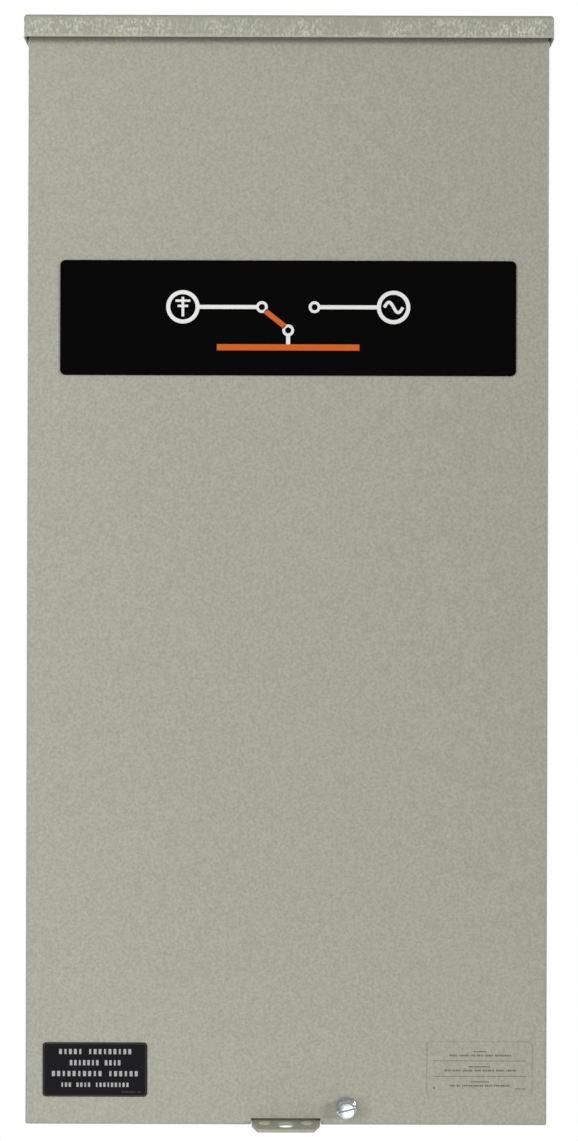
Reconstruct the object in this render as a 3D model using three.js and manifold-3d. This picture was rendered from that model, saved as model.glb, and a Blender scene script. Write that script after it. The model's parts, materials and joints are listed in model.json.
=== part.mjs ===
// A wall-mounted automatic transfer switch in an outdoor sheet-metal enclosure.
//
// Frame: millimetres, +Z up, +X to the right as seen from the front. The wall plane is y = 0 and the front
// faces -Y. Most places are given as a distance "forward" of the wall or of a group's origin, with
// y = -forward. The origin is the middle of the back face.
import * as THREE from "three";
import { mergeVertices } from "three/addons/utils/BufferGeometryUtils.js";
import Module from "manifold-3d";

const wasm = await Module();
wasm.setup();

// ---------------------------------------------------------------- driving dimensions
const GAP = 0.3; // between pieces that bear on each other
const SHEET = 1.6; // enclosure, cap and panel steel
const HALF_HEIGHT = 358; // cap top and cover foot, above and below the origin
const DEPTH = 175.4; // wall to the front of the drip lip

const BOX = { halfWidth: 166, front: 166, bottom: -354.8, top: 356.1, flange: 14, footFlange: 20 };
const WALL_HOLE = { x: 133.35, z: 339.7, radius: 4 };
const CAP = { halfWidth: 171, lip: 14.9, bend: 3.5 };

const COVER = {
  halfWidth: 168.5,
  front: 168.9,
  sheet: 1.5,
  top: 352.5,
  turnBack: 12,
  topTurnBack: 7.5,
  bend: 2.2,
};
const COVER_SCREW = { x: 39, z: -346.4, threadRadius: 3.1 };
const NAMEPLATE = { width: 294.5, height: 74.3, z: 163.3, corner: 3.6, thickness: 0.8 };
const SMALL_LABEL = { width: 67.5, height: 35, corner: 2.4, thickness: 0.4 };
const FUNCTION_LABEL_AT = { x: -123.4, z: -322.3 };
const RATING_LABEL_AT = { x: 125, z: -321.2 };

const HASP = { halfWidth: 22, sheet: 2.2, top: -355.1, root: 126, reach: 20 };
const HASP_TAPER = { width: 4, length: 13 };
const HASP_NOTCH = { top: -353.6, gap: 0.6 };
const HASP_HOLE = { halfWidth: 5, halfLength: 6, ahead: 9.4 };
const HASP_RIVET = { x: 13.5, ahead: 6.4, headRadius: 4, headHeight: 1.25, shankRadius: 2 };

const CONDUIT = { x: 85, forward: 85, radius: 38 };
const CONTROL_CONDUIT = { x: 0, forward: 60, radius: 14.3, groove: 0.8, depth: 0.9 };

const PANEL = { halfWidth: 148, halfHeight: 330, back: 10, fold: 3 };
const PANEL_FACE = PANEL.back + SHEET + 1.4; // what is bolted to the panel starts here

const DEAD_FRONT = { halfWidth: 158, bottom: 100, top: 340, back: 110, turnBack: 12 };
const BREAKER = { halfWidth: 51, bottom: 112, top: 272, seam: 60, front: 88, noseFront: 116, pivot: 78 };
const BREAKER_Z = (BREAKER.bottom + BREAKER.top) / 2;
const POLE_X = 27; // half of the distance between the two poles
const STRAP = { width: 22, thickness: 4, back: 32.6 };
const LUG = { width: 26, depth: 28, height: 28, bore: 7.5 };

const SHAFT = { forward: 58, z: -15, radius: 11, journal: 7 };
const THROW = THREE.MathUtils.degToRad(40); // utility to standby
const BASE = { halfWidth: 112, halfHeight: 110, back: PANEL_FACE - SHAFT.forward, front: -31 };
const CONTACT_BAR = { width: 22, thickness: 5 };
const HOUSING = { halfWidth: 22, halfHeight: 58, front: 66, wall: 2.5 };
const BRACKET = { inner: 54, outer: 57, halfHeight: 45, holeRadius: 7.6 };
const CRANK = { radius: 22, pin: 3, inner: 62, outer: 72 };
const SOLENOID = { x: 84, forward: 21, coilRadius: 22, plungerRadius: 8, near: 34, far: 84, plate: 3 };
const HANDLE = { inner: -80, outer: -86, reach: 92 };

// ---------------------------------------------------------------- materials
const paint = (color, roughness, metalness = 0) =>
  new THREE.MeshStandardMaterial({ color, roughness, metalness });
const MATERIAL = {
  enclosure: paint(0xa5a698, 0.55),
  nameplate: paint(0x050505, 0.3),
  clearLabel: paint(0xb4b5a8, 0.3),
  zinc: paint(0xd5dadd, 0.25, 1),
  galvanised: paint(0xb9bdbf, 0.45, 0.9),
  blackMoulding: paint(0x1b1b1d, 0.5),
  greyMoulding: paint(0x55585a, 0.5),
  copper: paint(0xb87333, 0.35, 1),
  aluminium: paint(0xc9ccce, 0.4, 1),
  shaft: paint(0x7a3b24, 0.5),
  coil: paint(0xc8892b, 0.45),
  grip: paint(0xb3201c, 0.45),
  board: paint(0x14542f, 0.4),
  terminal: paint(0x20201f, 0.5),
  relay: paint(0x2a4f86, 0.45),
  insulator: paint(0x8e2318, 0.5),
  wire: paint(0x222222, 0.5),
};

// ---------------------------------------------------------------- solids from three.js geometry
function solid(geometry) {
  const bare = new THREE.BufferGeometry();
  bare.setAttribute("position", geometry.getAttribute("position"));
  bare.setIndex(geometry.index);
  const merged = mergeVertices(bare, 1e-4);
  return new wasm.Manifold(
    new wasm.Mesh({
      numProp: 3,
      vertProperties: merged.getAttribute("position").array,
      triVerts: new Uint32Array(merged.index.array),
    }),
  );
}

const join = (first, ...others) => others.reduce((made, other) => made.add(other), first);
const cut = (first, ...tools) => tools.reduce((made, tool) => made.subtract(tool), first);
const common = (first, ...others) => others.reduce((made, other) => made.intersect(other), first);

function geometryOf(made) {
  const { vertProperties, triVerts } = made.getMesh();
  const geometry = new THREE.BufferGeometry();
  geometry.setAttribute("position", new THREE.BufferAttribute(vertProperties, 3));
  geometry.setIndex(new THREE.BufferAttribute(triVerts, 1));
  geometry.computeVertexNormals();
  return geometry;
}

function piece(name, made, material) {
  const mesh = new THREE.Mesh(geometryOf(made), material);
  mesh.name = name;
  return mesh;
}

// A box from three spans: across, forward and up.
function block([x0, x1], [near, far], [z0, z1]) {
  const box = new THREE.BoxGeometry(x1 - x0, far - near, z1 - z0);
  return solid(box.translate((x0 + x1) / 2, -(near + far) / 2, (z0 + z1) / 2));
}

// Round bars along X, forward, and Z.
function rodX(radius, [x0, x1], forward, z, sides = 24) {
  const rod = new THREE.CylinderGeometry(radius, radius, x1 - x0, sides).rotateZ(Math.PI / 2);
  return solid(rod.translate((x0 + x1) / 2, -forward, z));
}

function rodForward(radius, [near, far], x, z, sides = 24) {
  const rod = new THREE.CylinderGeometry(radius, radius, far - near, sides);
  return solid(rod.translate(x, -(near + far) / 2, z));
}

function rodZ(radius, [z0, z1], x, forward, sides = 24) {
  const rod = new THREE.CylinderGeometry(radius, radius, z1 - z0, sides).rotateX(Math.PI / 2);
  return solid(rod.translate(x, -forward, (z0 + z1) / 2));
}

// A flat outline pushed along one axis. The outline's own axes are (y, z), (x, z) or (x, y).
function extrude(shape, depth, basis, start, curveSegments) {
  const made = new THREE.ExtrudeGeometry(shape, { depth, bevelEnabled: false, curveSegments });
  return solid(made.applyMatrix4(new THREE.Matrix4().makeBasis(...basis).setPosition(start)));
}
const X_AXIS = new THREE.Vector3(1, 0, 0);
const Y_AXIS = new THREE.Vector3(0, 1, 0);
const Z_AXIS = new THREE.Vector3(0, 0, 1);
const FORWARD = new THREE.Vector3(0, -1, 0);

const alongX = (shape, [x0, x1], segments = 4) =>
  extrude(shape, x1 - x0, [Y_AXIS, Z_AXIS, X_AXIS], new THREE.Vector3(x0, 0, 0), segments);
const alongForward = (shape, [near, far], segments = 4) =>
  extrude(shape, far - near, [X_AXIS, Z_AXIS, FORWARD], new THREE.Vector3(0, -near, 0), segments);
const alongZ = (shape, [z0, z1], segments = 4) =>
  extrude(shape, z1 - z0, [X_AXIS, Y_AXIS, Z_AXIS], new THREE.Vector3(0, 0, z0), segments);

// A rectangle whose corners have their own radii: low-left, low-right, high-right, high-left.
function rectangle([u0, u1], [v0, v1], [a, b, c, d] = [0, 0, 0, 0]) {
  const shape = new THREE.Shape();
  shape.moveTo(u0 + a, v0);
  shape.lineTo(u1 - b, v0);
  if (b) shape.absarc(u1 - b, v0 + b, b, -Math.PI / 2, 0);
  shape.lineTo(u1, v1 - c);
  if (c) shape.absarc(u1 - c, v1 - c, c, 0, Math.PI / 2);
  shape.lineTo(u0 + d, v1);
  if (d) shape.absarc(u0 + d, v1 - d, d, Math.PI / 2, Math.PI);
  shape.lineTo(u0, v0 + a);
  if (a) shape.absarc(u0 + a, v0 + a, a, Math.PI, Math.PI * 1.5);
  return shape;
}

// A strip of sheet bent along a path of [forward, z] points, seen from the side.
function bentStrip(path, thickness, [x0, x1]) {
  const points = path.map(([forward, z]) => new THREE.Vector2(-forward, z));
  const side = (sign) =>
    points.map((point, i) => {
      const before = points[i].clone().sub(points[Math.max(i - 1, 0)]).normalize();
      const after = points[Math.min(i + 1, points.length - 1)].clone().sub(point).normalize();
      const along = before.clone().add(after).normalize();
      const across = new THREE.Vector2(-along.y, along.x);
      const mitre = before.lengthSq() && after.lengthSq() ? Math.sqrt((1 + before.dot(after)) / 2) : 1;
      return point.clone().addScaledVector(across, (sign * thickness) / 2 / mitre);
    });
  return alongX(new THREE.Shape([...side(1), ...side(-1).reverse()]), [x0, x1]);
}

const mirroredTo = (side, [a, b]) => (side > 0 ? [a, b] : [-b, -a]);
const around = (centre, width) => [centre - width / 2, centre + width / 2];

// ---------------------------------------------------------------- enclosure
// Sides, ends and front flanges, with the ledges that carry the dead front. The back is a plate of its own.
function enclosureBox() {
  const { halfWidth: w, front, bottom, top, flange, footFlange } = BOX;
  const hooked = HALF_HEIGHT - CAP.lip - 0.7;
  const coverSwing = block([-w - 1, w + 1], [front - 11, front + 1], [hooked, top + 1]);
  const shell = cut(
    block([-w, w], [0, front], [bottom, top]),
    block([-w + SHEET, w - SHEET], [-1, front - SHEET], [bottom + SHEET, top - SHEET]),
    block([-w + flange, w - flange], [front - 2 * SHEET, front + 1], [bottom + footFlange, top + 1]),
    coverSwing,
  );
  const ledge = (side, z) => {
    const span = mirroredTo(side, [138, w - SHEET / 2]);
    const foot = mirroredTo(side, [w - 2 * SHEET, w - SHEET / 2]);
    const face = DEAD_FRONT.back - GAP;
    return join(
      block(span, [face - SHEET, face], around(z, 20)),
      block(foot, [face - 20, face], around(z, 20)),
    );
  };
  const ledges = [-1, 1].flatMap((side) => [120, 310].map((z) => ledge(side, z)));
  const floor = [bottom - 1, bottom + SHEET + 1];
  return cut(
    join(shell, ...ledges),
    rodZ(CONDUIT.radius, floor, -CONDUIT.x, CONDUIT.forward, 48),
    rodZ(CONDUIT.radius, floor, CONDUIT.x, CONDUIT.forward, 48),
    scoredRing(CONTROL_CONDUIT),
    rodForward(4.6, [front - 3, front + 1], COVER_SCREW.x, COVER_SCREW.z, 20),
  );
}

// The groove round a knockout that is scored part of the way through the floor.
function scoredRing({ x, forward, radius, groove, depth }) {
  const span = [BOX.bottom - 1, BOX.bottom + depth];
  return cut(
    rodZ(radius, span, x, forward, 28),
    rodZ(radius - groove, [span[0] - 1, span[1] + 1], x, forward, 28),
  );
}

function backPlate() {
  const inset = SHEET + GAP;
  const wallHoles = [-1, 1].flatMap((sx) =>
    [-1, 1].map((sz) => rodForward(WALL_HOLE.radius, [-1, 3], sx * WALL_HOLE.x, sz * WALL_HOLE.z, 20)),
  );
  const span = [-BOX.halfWidth + inset, BOX.halfWidth - inset];
  return cut(block(span, [0, SHEET], [BOX.bottom + inset, BOX.top - inset]), ...wallHoles);
}

function knockout(side) {
  const { x, forward, radius } = CONDUIT;
  return rodZ(radius - 0.5, [BOX.bottom, BOX.bottom + SHEET], side * x, forward, 48);
}

function dripCap() {
  const { halfWidth: w, lip, bend } = CAP;
  const bottom = HALF_HEIGHT - lip;
  const back = 0.5;
  const outer = common(
    alongX(rectangle([-DEPTH, -back], [bottom, HALF_HEIGHT], [0.7, 0, 0, bend]), [-w, w], 5),
    alongForward(rectangle([-w, w], [bottom, HALF_HEIGHT], [0, 0, bend, bend]), [back, DEPTH], 5),
    alongZ(rectangle([-w, w], [-DEPTH, -back], [bend, bend, 0, 0]), [bottom, HALF_HEIGHT], 5),
  );
  const hollow = block([-w + SHEET, w - SHEET], [back - 1, DEPTH - SHEET], [bottom - 1, HALF_HEIGHT - SHEET]);
  return cut(outer, hollow);
}

function haspOutline() {
  const { halfWidth: w, root, reach } = HASP;
  const tip = COVER.front + reach;
  const narrow = w - HASP_TAPER.width;
  const shoulder = tip - HASP_TAPER.length;
  const corners = [[-narrow, -tip], [narrow, -tip], [w, -shoulder], [w, -root], [-w, -root], [-w, -shoulder]];
  return new THREE.Shape(corners.map(([x, y]) => new THREE.Vector2(x, y)));
}

function padlockHasp() {
  const { sheet, top } = HASP;
  const span = [top - sheet, top];
  const hole = rectangle(
    [-HASP_HOLE.halfWidth, HASP_HOLE.halfWidth],
    around(-COVER.front - HASP_HOLE.ahead, 2 * HASP_HOLE.halfLength),
    Array(4).fill(HASP_HOLE.halfWidth - 0.1),
  );
  const through = [span[0] - 1, span[1] + 1];
  const rivetForward = COVER.front + HASP_RIVET.ahead;
  const rivetHoles = [-1, 1].map((side) =>
    rodZ(HASP_RIVET.shankRadius + GAP, through, side * HASP_RIVET.x, rivetForward, 12),
  );
  return cut(
    alongZ(haspOutline(), span, 6),
    alongZ(hole, through, 6),
    ...rivetHoles,
  );
}

// A shallow domed rivet: head above the hasp, tail below it.
function haspRivet(side) {
  const { headRadius: r, headHeight: h, shankRadius: s } = HASP_RIVET;
  const under = -HASP.sheet - 0.1;
  const dome = [0, 1, 2, 3].map((i) => {
    const a = (i / 4) * (Math.PI / 2);
    return new THREE.Vector2(r * Math.cos(a), 0.15 + (h - 0.15) * Math.sin(a));
  });
  const profile = [
    new THREE.Vector2(0, under - 0.5),
    new THREE.Vector2(s + 1, under - 0.5),
    new THREE.Vector2(s + 1, under),
    new THREE.Vector2(s, under),
    new THREE.Vector2(s, 0.05),
    new THREE.Vector2(r, 0.05),
    ...dome,
    new THREE.Vector2(0, h),
  ];
  const rivet = new THREE.LatheGeometry(profile, 20).rotateX(Math.PI / 2);
  return solid(rivet.translate(side * HASP_RIVET.x, -COVER.front - HASP_RIVET.ahead, HASP.top));
}

function coverScrewNut() {
  const back = BOX.front - SHEET - 0.2;
  return cut(
    rodForward(6.4, [back - 7, back], COVER_SCREW.x, COVER_SCREW.z, 6),
    rodForward(4.2, [back - 8, back + 1], COVER_SCREW.x, COVER_SCREW.z, 20),
  );
}

function mountingPanel() {
  const { halfWidth: w, halfHeight: h, back, fold } = PANEL;
  return cut(
    block([-w, w], [fold, back + SHEET], [-h, h]),
    block([-w + SHEET, w - SHEET], [fold - 1, back], [-h + SHEET, h - SHEET]),
  );
}

function enclosure() {
  const group = new THREE.Group();
  const paintwork = MATERIAL.enclosure;
  group.add(
    piece("enclosure_box", enclosureBox(), paintwork),
    piece("back_plate", backPlate(), paintwork),
    piece("drip_cap", dripCap(), paintwork),
    piece("padlock_hasp", padlockHasp(), paintwork),
    piece("hasp_rivet_left", haspRivet(-1), paintwork),
    piece("hasp_rivet_right", haspRivet(1), paintwork),
    piece("knockout_left", knockout(-1), paintwork),
    piece("knockout_right", knockout(1), paintwork),
    piece("cover_screw_nut", coverScrewNut(), MATERIAL.zinc),
    piece("mounting_panel", mountingPanel(), MATERIAL.galvanised),
  );
  return group;
}

// ---------------------------------------------------------------- front cover
function frontCover() {
  const { halfWidth: w, front, sheet, top, turnBack, topTurnBack, bend } = COVER;
  const bottom = -HALF_HEIGHT;
  const back = front - turnBack;
  const outer = common(
    alongX(rectangle([-front, -back], [bottom, top], [bend, 0, 0, bend]), [-w, w]),
    alongForward(rectangle([-w, w], [bottom, top], [1.6, 1.6, 0, 0]), [back, front]),
    alongZ(rectangle([-w, w], [-front, -back], [bend, bend, 0, 0]), [bottom, top]),
  );
  const notch = HASP.halfWidth + HASP_NOTCH.gap;
  return cut(
    outer,
    block([-w + sheet, w - sheet], [back - 1, front - sheet], [bottom + sheet, top - sheet]),
    block([-w + sheet, w - sheet], [back - 1, front - topTurnBack], [top - 2 * sheet, top + 1]),
    block([-notch, notch], [back - 1, front + 1], [bottom - 1, HASP_NOTCH.top]),
    rodForward(3.8, [front - 3, front + 1], COVER_SCREW.x, COVER_SCREW.z, 20),
  );
}

function label({ width, height, corner, thickness }, { x = 0, z }) {
  const face = COVER.front + 0.1;
  const outline = rectangle(around(x, width), around(z, height), Array(4).fill(corner));
  return alongForward(outline, [face, face + thickness]);
}

function coverScrew() {
  const { x, z, threadRadius } = COVER_SCREW;
  const seat = COVER.front + GAP;
  const hexagon = new THREE.CylinderGeometry(6.4, 6.4, 7, 6).rotateY(THREE.MathUtils.degToRad(22));
  return join(
    rodForward(threadRadius, [COVER.front - 17, seat + 1], x, z, 20),
    rodForward(6.9, [seat, seat + 1.5], x, z, 32),
    solid(hexagon.translate(x, -(seat + 1.4 + 3.5), z)),
  );
}

function cover() {
  const group = new THREE.Group();
  group.add(
    piece("front_cover", frontCover(), MATERIAL.enclosure),
    piece("nameplate", label(NAMEPLATE, NAMEPLATE), MATERIAL.nameplate),
    piece("function_label", label(SMALL_LABEL, FUNCTION_LABEL_AT), MATERIAL.nameplate),
    piece("rating_label", label(SMALL_LABEL, RATING_LABEL_AT), MATERIAL.clearLabel),
    piece("cover_screw", coverScrew(), MATERIAL.zinc),
  );
  return group;
}

// ---------------------------------------------------------------- service disconnect
function deadFront() {
  const { halfWidth: w, bottom, top, back, turnBack } = DEAD_FRONT;
  return cut(
    block([-w, w], [back - turnBack, back + SHEET], [bottom, top]),
    block([-w - 1, w + 1], [back - turnBack - 1, back], [bottom + SHEET, top - SHEET]),
    block([-32, 32], [back - 1, back + SHEET + 1], around(BREAKER_Z, 58)),
    ...[-1, 1].map((side) => rodForward(3, [back - 1, back + SHEET + 1], side * 148, 120, 16)),
    ...[-1, 1].map((side) => rodForward(3, [back - 1, back + SHEET + 1], side * 148, 310, 16)),
  );
}

function strapSlots(reach) {
  const span = [STRAP.back - GAP, STRAP.back + STRAP.thickness + GAP];
  return [-1, 1].flatMap((side) => [
    block(around(side * POLE_X, STRAP.width + 2 * GAP), span, [BREAKER.top - reach, BREAKER.top + 1]),
    block(around(side * POLE_X, STRAP.width + 2 * GAP), span, [BREAKER.bottom - 1, BREAKER.bottom + reach]),
  ]);
}

function breakerBase() {
  const { halfWidth: w, bottom, top, seam } = BREAKER;
  return cut(
    block([-w, w], [PANEL_FACE, seam], [bottom, top]),
    block([-1.5, 1.5], [PANEL_FACE - 1, seam + 1], [top - 22, top + 1]),
    block([-1.5, 1.5], [PANEL_FACE - 1, seam + 1], [bottom - 1, bottom + 22]),
    ...strapSlots(24),
  );
}

function breakerCover() {
  const { halfWidth: w, bottom, top, seam, front, noseFront } = BREAKER;
  const screwWell = (x, z) => rodForward(4.5, [front - 5, front + 1], x, z, 16);
  return cut(
    join(
      block([-w, w], [seam + GAP, front - 8], [bottom, top]),
      block([-w, w], [front - 9, front], [bottom + 26, top - 26]),
      block([-30, 30], [front - 1, noseFront], around(BREAKER_Z, 54)),
    ),
    block([-14, 14], [seam, noseFront + 1], around(BREAKER_Z, 42)),
    screwWell(-42, BREAKER_Z - 40),
    screwWell(42, BREAKER_Z - 40),
    screwWell(-42, BREAKER_Z + 40),
    screwWell(42, BREAKER_Z + 40),
  );
}

// The toggle is built pointing straight forward from its pivot, and the group turns it up to ON.
function breakerHandle() {
  const lever = rectangle([-54, 0], [-5, 5], [3, 0, 0, 3]);
  const hub = rodX(14, [-13, 13], 0, 0, 28);
  return join(hub, alongX(lever, [-11, 11]), block([-12.5, 12.5], [44, 51], [-6.5, 6.5]));
}

function lugBlock(x, [near, far], [z0, z1], boreForward) {
  return cut(
    block(around(x, LUG.width), [near, far], [z0, z1]),
    rodZ(LUG.bore, [z0 - 1, z1 + 1], x, boreForward, 20),
    rodForward(4.2, [boreForward, far + 1], x, (z0 + z1) / 2, 16),
  );
}

function lineLug(side) {
  const x = side * POLE_X;
  const face = STRAP.back + STRAP.thickness;
  const foot = BREAKER.top + 2;
  const bore = face + LUG.depth / 2;
  return join(
    block(around(x, STRAP.width), [STRAP.back, face], [BREAKER.top - 22, foot + LUG.height]),
    lugBlock(x, [face - 0.5, face + LUG.depth], [foot, foot + LUG.height], bore),
  );
}

function feedStrap(side) {
  const span = [STRAP.back, STRAP.back + STRAP.thickness];
  return block(around(side * POLE_X, STRAP.width), span, [70, BREAKER.bottom + 22]);
}

function serviceDisconnect() {
  const group = new THREE.Group();
  const handle = new THREE.Group();
  handle.position.set(0, -BREAKER.pivot, BREAKER_Z);
  handle.rotation.x = THREE.MathUtils.degToRad(-18);
  handle.add(piece("breaker_handle", breakerHandle(), MATERIAL.blackMoulding));
  group.add(
    piece("dead_front", deadFront(), MATERIAL.enclosure),
    piece("breaker_base", breakerBase(), MATERIAL.blackMoulding),
    piece("breaker_cover", breakerCover(), MATERIAL.blackMoulding),
    handle,
    piece("line_lug_left", lineLug(-1), MATERIAL.aluminium),
    piece("line_lug_right", lineLug(1), MATERIAL.aluminium),
    piece("feed_strap_left", feedStrap(-1), MATERIAL.copper),
    piece("feed_strap_right", feedStrap(1), MATERIAL.copper),
  );
  return group;
}

// ---------------------------------------------------------------- transfer mechanism
// Everything below is built about the shaft's axis: forward and z are counted from it.
function switchBase() {
  const { halfWidth: w, halfHeight: h, back, front } = BASE;
  const boss = (sign) => block([74, 98], [front - 1, -6.3], mirroredTo(sign, [40, 78]));
  const bridge = (side) => {
    const x = side * POLE_X;
    return join(
      block(around(x - 15, 4), [front - 1, 7.2], [-98, -72]),
      block(around(x + 15, 4), [front - 1, 7.2], [-98, -72]),
      block(around(x, 34), [3, 7.2], [-98, -72]),
    );
  };
  const screwWells = [-1, 1].flatMap((sx) =>
    [-1, 1].map((sz) => rodForward(5.5, [front - 6, front + 1], sx * 102, sz * 98, 16)),
  );
  const plate = cut(block([-w, w], [back, front], [-h, h]), ...screwWells);
  const barrier = block([-2, 2], [front - 1, 20], [-h, -HOUSING.halfHeight - 4]);
  return join(plate, boss(1), boss(-1), bridge(-1), bridge(1), barrier);
}

// Where a point of the thrown arm lies when the arm is turned up (sign 1) or down (sign -1).
function thrownPoint(along, across, sign) {
  const angle = THROW / 2;
  const forward = along * Math.cos(angle) - across * Math.sin(angle);
  return [forward, sign * (along * Math.sin(angle) + across * Math.cos(angle))];
}

const CONTACT_FACE = CONTACT_BAR.thickness / 2 + 3; // the moving pad's face, off the arm's middle

function fixedPad(sign, x) {
  const from = CONTACT_FACE + GAP;
  const pad = new THREE.Shape(
    [[40, from], [52, from], [52, from + 3.5], [40, from + 3.5]].map(([along, across]) => {
      const [forward, z] = thrownPoint(along, across, sign);
      return new THREE.Vector2(-forward, z);
    }),
  );
  return alongX(pad, around(x, 14));
}

function utilityContact(side) {
  const x = side * POLE_X;
  const middle = CONTACT_FACE + GAP + 3 + CONTACT_BAR.thickness / 2;
  const wall = BASE.front + GAP + CONTACT_BAR.thickness / 2;
  const path = [thrownPoint(58, middle, 1), thrownPoint(34, middle, 1), [18, 46], [wall, 46], [wall, 100]];
  return join(bentStrip(path, CONTACT_BAR.thickness, around(x, CONTACT_BAR.width)), fixedPad(1, x));
}

function standbyTerminal(side) {
  const x = side * POLE_X;
  const middle = CONTACT_FACE + GAP + 3 + CONTACT_BAR.thickness / 2;
  const foot = -98;
  const path = [thrownPoint(58, middle, -1), thrownPoint(34, middle, -1), [10, -62], [10, foot]];
  return join(
    bentStrip(path, CONTACT_BAR.thickness, around(x, CONTACT_BAR.width)),
    fixedPad(-1, x),
    lugBlock(x, [12, 12 + LUG.depth], [foot, foot + LUG.height], 12.5 + LUG.depth / 2),
  );
}

function loadTerminal(side) {
  const x = side * POLE_X;
  const near = BASE.front + GAP;
  const far = near + CONTACT_BAR.thickness;
  const foot = -142;
  return join(
    block(around(x, CONTACT_BAR.width), [near, far], [foot, -20]),
    lugBlock(x, [far - 0.5, far + LUG.depth], [foot, foot + LUG.height], far + LUG.depth / 2),
  );
}

function poleHousing(side) {
  const x = side * POLE_X;
  const { halfWidth: w, halfHeight: h, front, wall } = HOUSING;
  const back = BASE.front + GAP;
  const ventSpan = [front - 2 * wall, front + 1];
  const vents = [-45, -33, -21, 21, 33, 45].map((z) => block(around(x, 30), ventSpan, around(z, 5)));
  return cut(
    block([x - w, x + w], [back, front], [-h, h]),
    block([x - w + wall, x + w - wall], [back - 1, front - wall], [-h + wall, h - wall]),
    rodX(13.5, [x - w - 1, x + w + 1], 0, 0, 28),
    block([x - w - 1, x + w + 1], [back - 1, 0], [-13.5, 13.5]),
    block(around(x, 25), [back - 1, back + CONTACT_BAR.thickness + 1], [h - 2 * wall, h + 1]),
    block(around(x, 25), [back - 1, 22], [-h - 1, -h + 2 * wall]),
    ...vents,
  );
}

function bearingBracket(side) {
  const { inner, outer, halfHeight: h, holeRadius } = BRACKET;
  const back = BASE.front + GAP;
  const plate = mirroredTo(side, [inner, outer]);
  const foot = mirroredTo(side, [inner, outer + 13]);
  const cheek = new THREE.Shape();
  cheek.moveTo(-back, -h);
  cheek.lineTo(-back, h);
  cheek.lineTo(-back - 6, h);
  cheek.absarc(0, 0, 15, THREE.MathUtils.degToRad(125), THREE.MathUtils.degToRad(235));
  cheek.lineTo(-back - 6, -h);
  return cut(
    join(alongX(cheek, plate, 14), block(foot, [back, back + 3], [-h, h])),
    rodX(holeRadius, [plate[0] - 1, plate[1] + 1], 0, 0, 28),
  );
}

function transferShaft() {
  const armSlots = [-1, 1].map((side) => block(around(side * POLE_X, 20.6), [-9.3, 14], [-2.8, 2.8]));
  return cut(
    join(
      rodX(SHAFT.radius, [-51, 51], 0, 0, 28),
      rodX(SHAFT.journal, [-90, 76], 0, 0, 28),
      rodX(13, [-66, -60], 0, 0, 28),
    ),
    ...armSlots,
    block([-67, -59.5], [-14, 14], [9, 14]),
  );
}

function movingContact(side) {
  const x = side * POLE_X;
  return join(
    block(around(x, 20), [-9, 56], [-2.5, 2.5]),
    block(around(x, 14), [40, 52], [-CONTACT_FACE, CONTACT_FACE]),
  );
}

function hubbedLever([x0, x1], reach, hubRadius, halfWidth) {
  const lever = rectangle([-reach, 0], [-halfWidth, halfWidth], [halfWidth - 0.1, 0, 0, halfWidth - 0.1]);
  const bore = rodX(SHAFT.journal + GAP, [x0 - 1, x1 + 1], 0, 0, 28);
  return cut(join(rodX(hubRadius, [x0, x1], 0, 0, 28), alongX(lever, [x0, x1], 6)), bore);
}

function driveCrank() {
  const { radius, pin, inner, outer } = CRANK;
  return join(
    hubbedLever([inner, outer], radius + 6, 12.5, 6),
    rodX(pin, [outer - 1, 94], radius, 0, 20),
  );
}

function handleLever() {
  return hubbedLever([HANDLE.outer, HANDLE.inner], HANDLE.reach - 6, 12.5, 7);
}

function handleGrip() {
  const outline = rectangle([-HANDLE.reach, -50], [-11, 11], [9, 5, 5, 9]);
  const lever = rectangle([-HANDLE.reach + 5.5, -49], [-7.4, 7.4], [7.2, 0, 0, 7.2]);
  const middle = (HANDLE.inner + HANDLE.outer) / 2;
  const thickness = Math.abs(HANDLE.outer - HANDLE.inner);
  return cut(alongX(outline, around(middle, 17), 6), alongX(lever, around(middle, thickness + 2 * GAP), 6));
}

function thrownGroup() {
  const group = new THREE.Group();
  group.rotation.x = -THROW / 2;
  group.add(
    piece("transfer_shaft", transferShaft(), MATERIAL.shaft),
    piece("moving_contact_left", movingContact(-1), MATERIAL.copper),
    piece("moving_contact_right", movingContact(1), MATERIAL.copper),
    piece("drive_crank", driveCrank(), MATERIAL.zinc),
    piece("manual_handle_lever", handleLever(), MATERIAL.zinc),
    piece("manual_handle_grip", handleGrip(), MATERIAL.grip),
  );
  return group;
}

// The crank pin's height when the switch is on utility.
const PIN_Z = CRANK.radius * Math.sin(THROW / 2);

function driveYoke() {
  const slot = [SOLENOID.forward - 6.5, SOLENOID.forward + 6.5];
  return cut(
    block(around(SOLENOID.x, 16), around(SOLENOID.forward, 22), around(PIN_Z, 20)),
    block(around(SOLENOID.x, 18), slot, around(PIN_Z, 2 * CRANK.pin + 0.9)),
  );
}

function plunger(sign) {
  const near = PIN_Z + sign * (10 + GAP);
  const far = sign > 0 ? 77 : -60;
  const span = [near, far].sort((a, b) => a - b);
  return rodZ(SOLENOID.plungerRadius, span, SOLENOID.x, SOLENOID.forward, 24);
}

function solenoidFrame(sign) {
  const { x, forward, near, far, plate, coilRadius } = SOLENOID;
  const back = forward - coilRadius - 2 - plate / 2;
  const front = forward + coilRadius;
  const path = [
    [front, sign * (near + plate / 2)],
    [back, sign * (near + plate / 2)],
    [back, sign * (far - plate / 2)],
    [front, sign * (far - plate / 2)],
  ];
  const opening = mirroredTo(sign, [near - 1, near + plate + 1]);
  return cut(bentStrip(path, plate, around(x, 38)), rodZ(8.8, opening, x, forward, 24));
}

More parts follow.
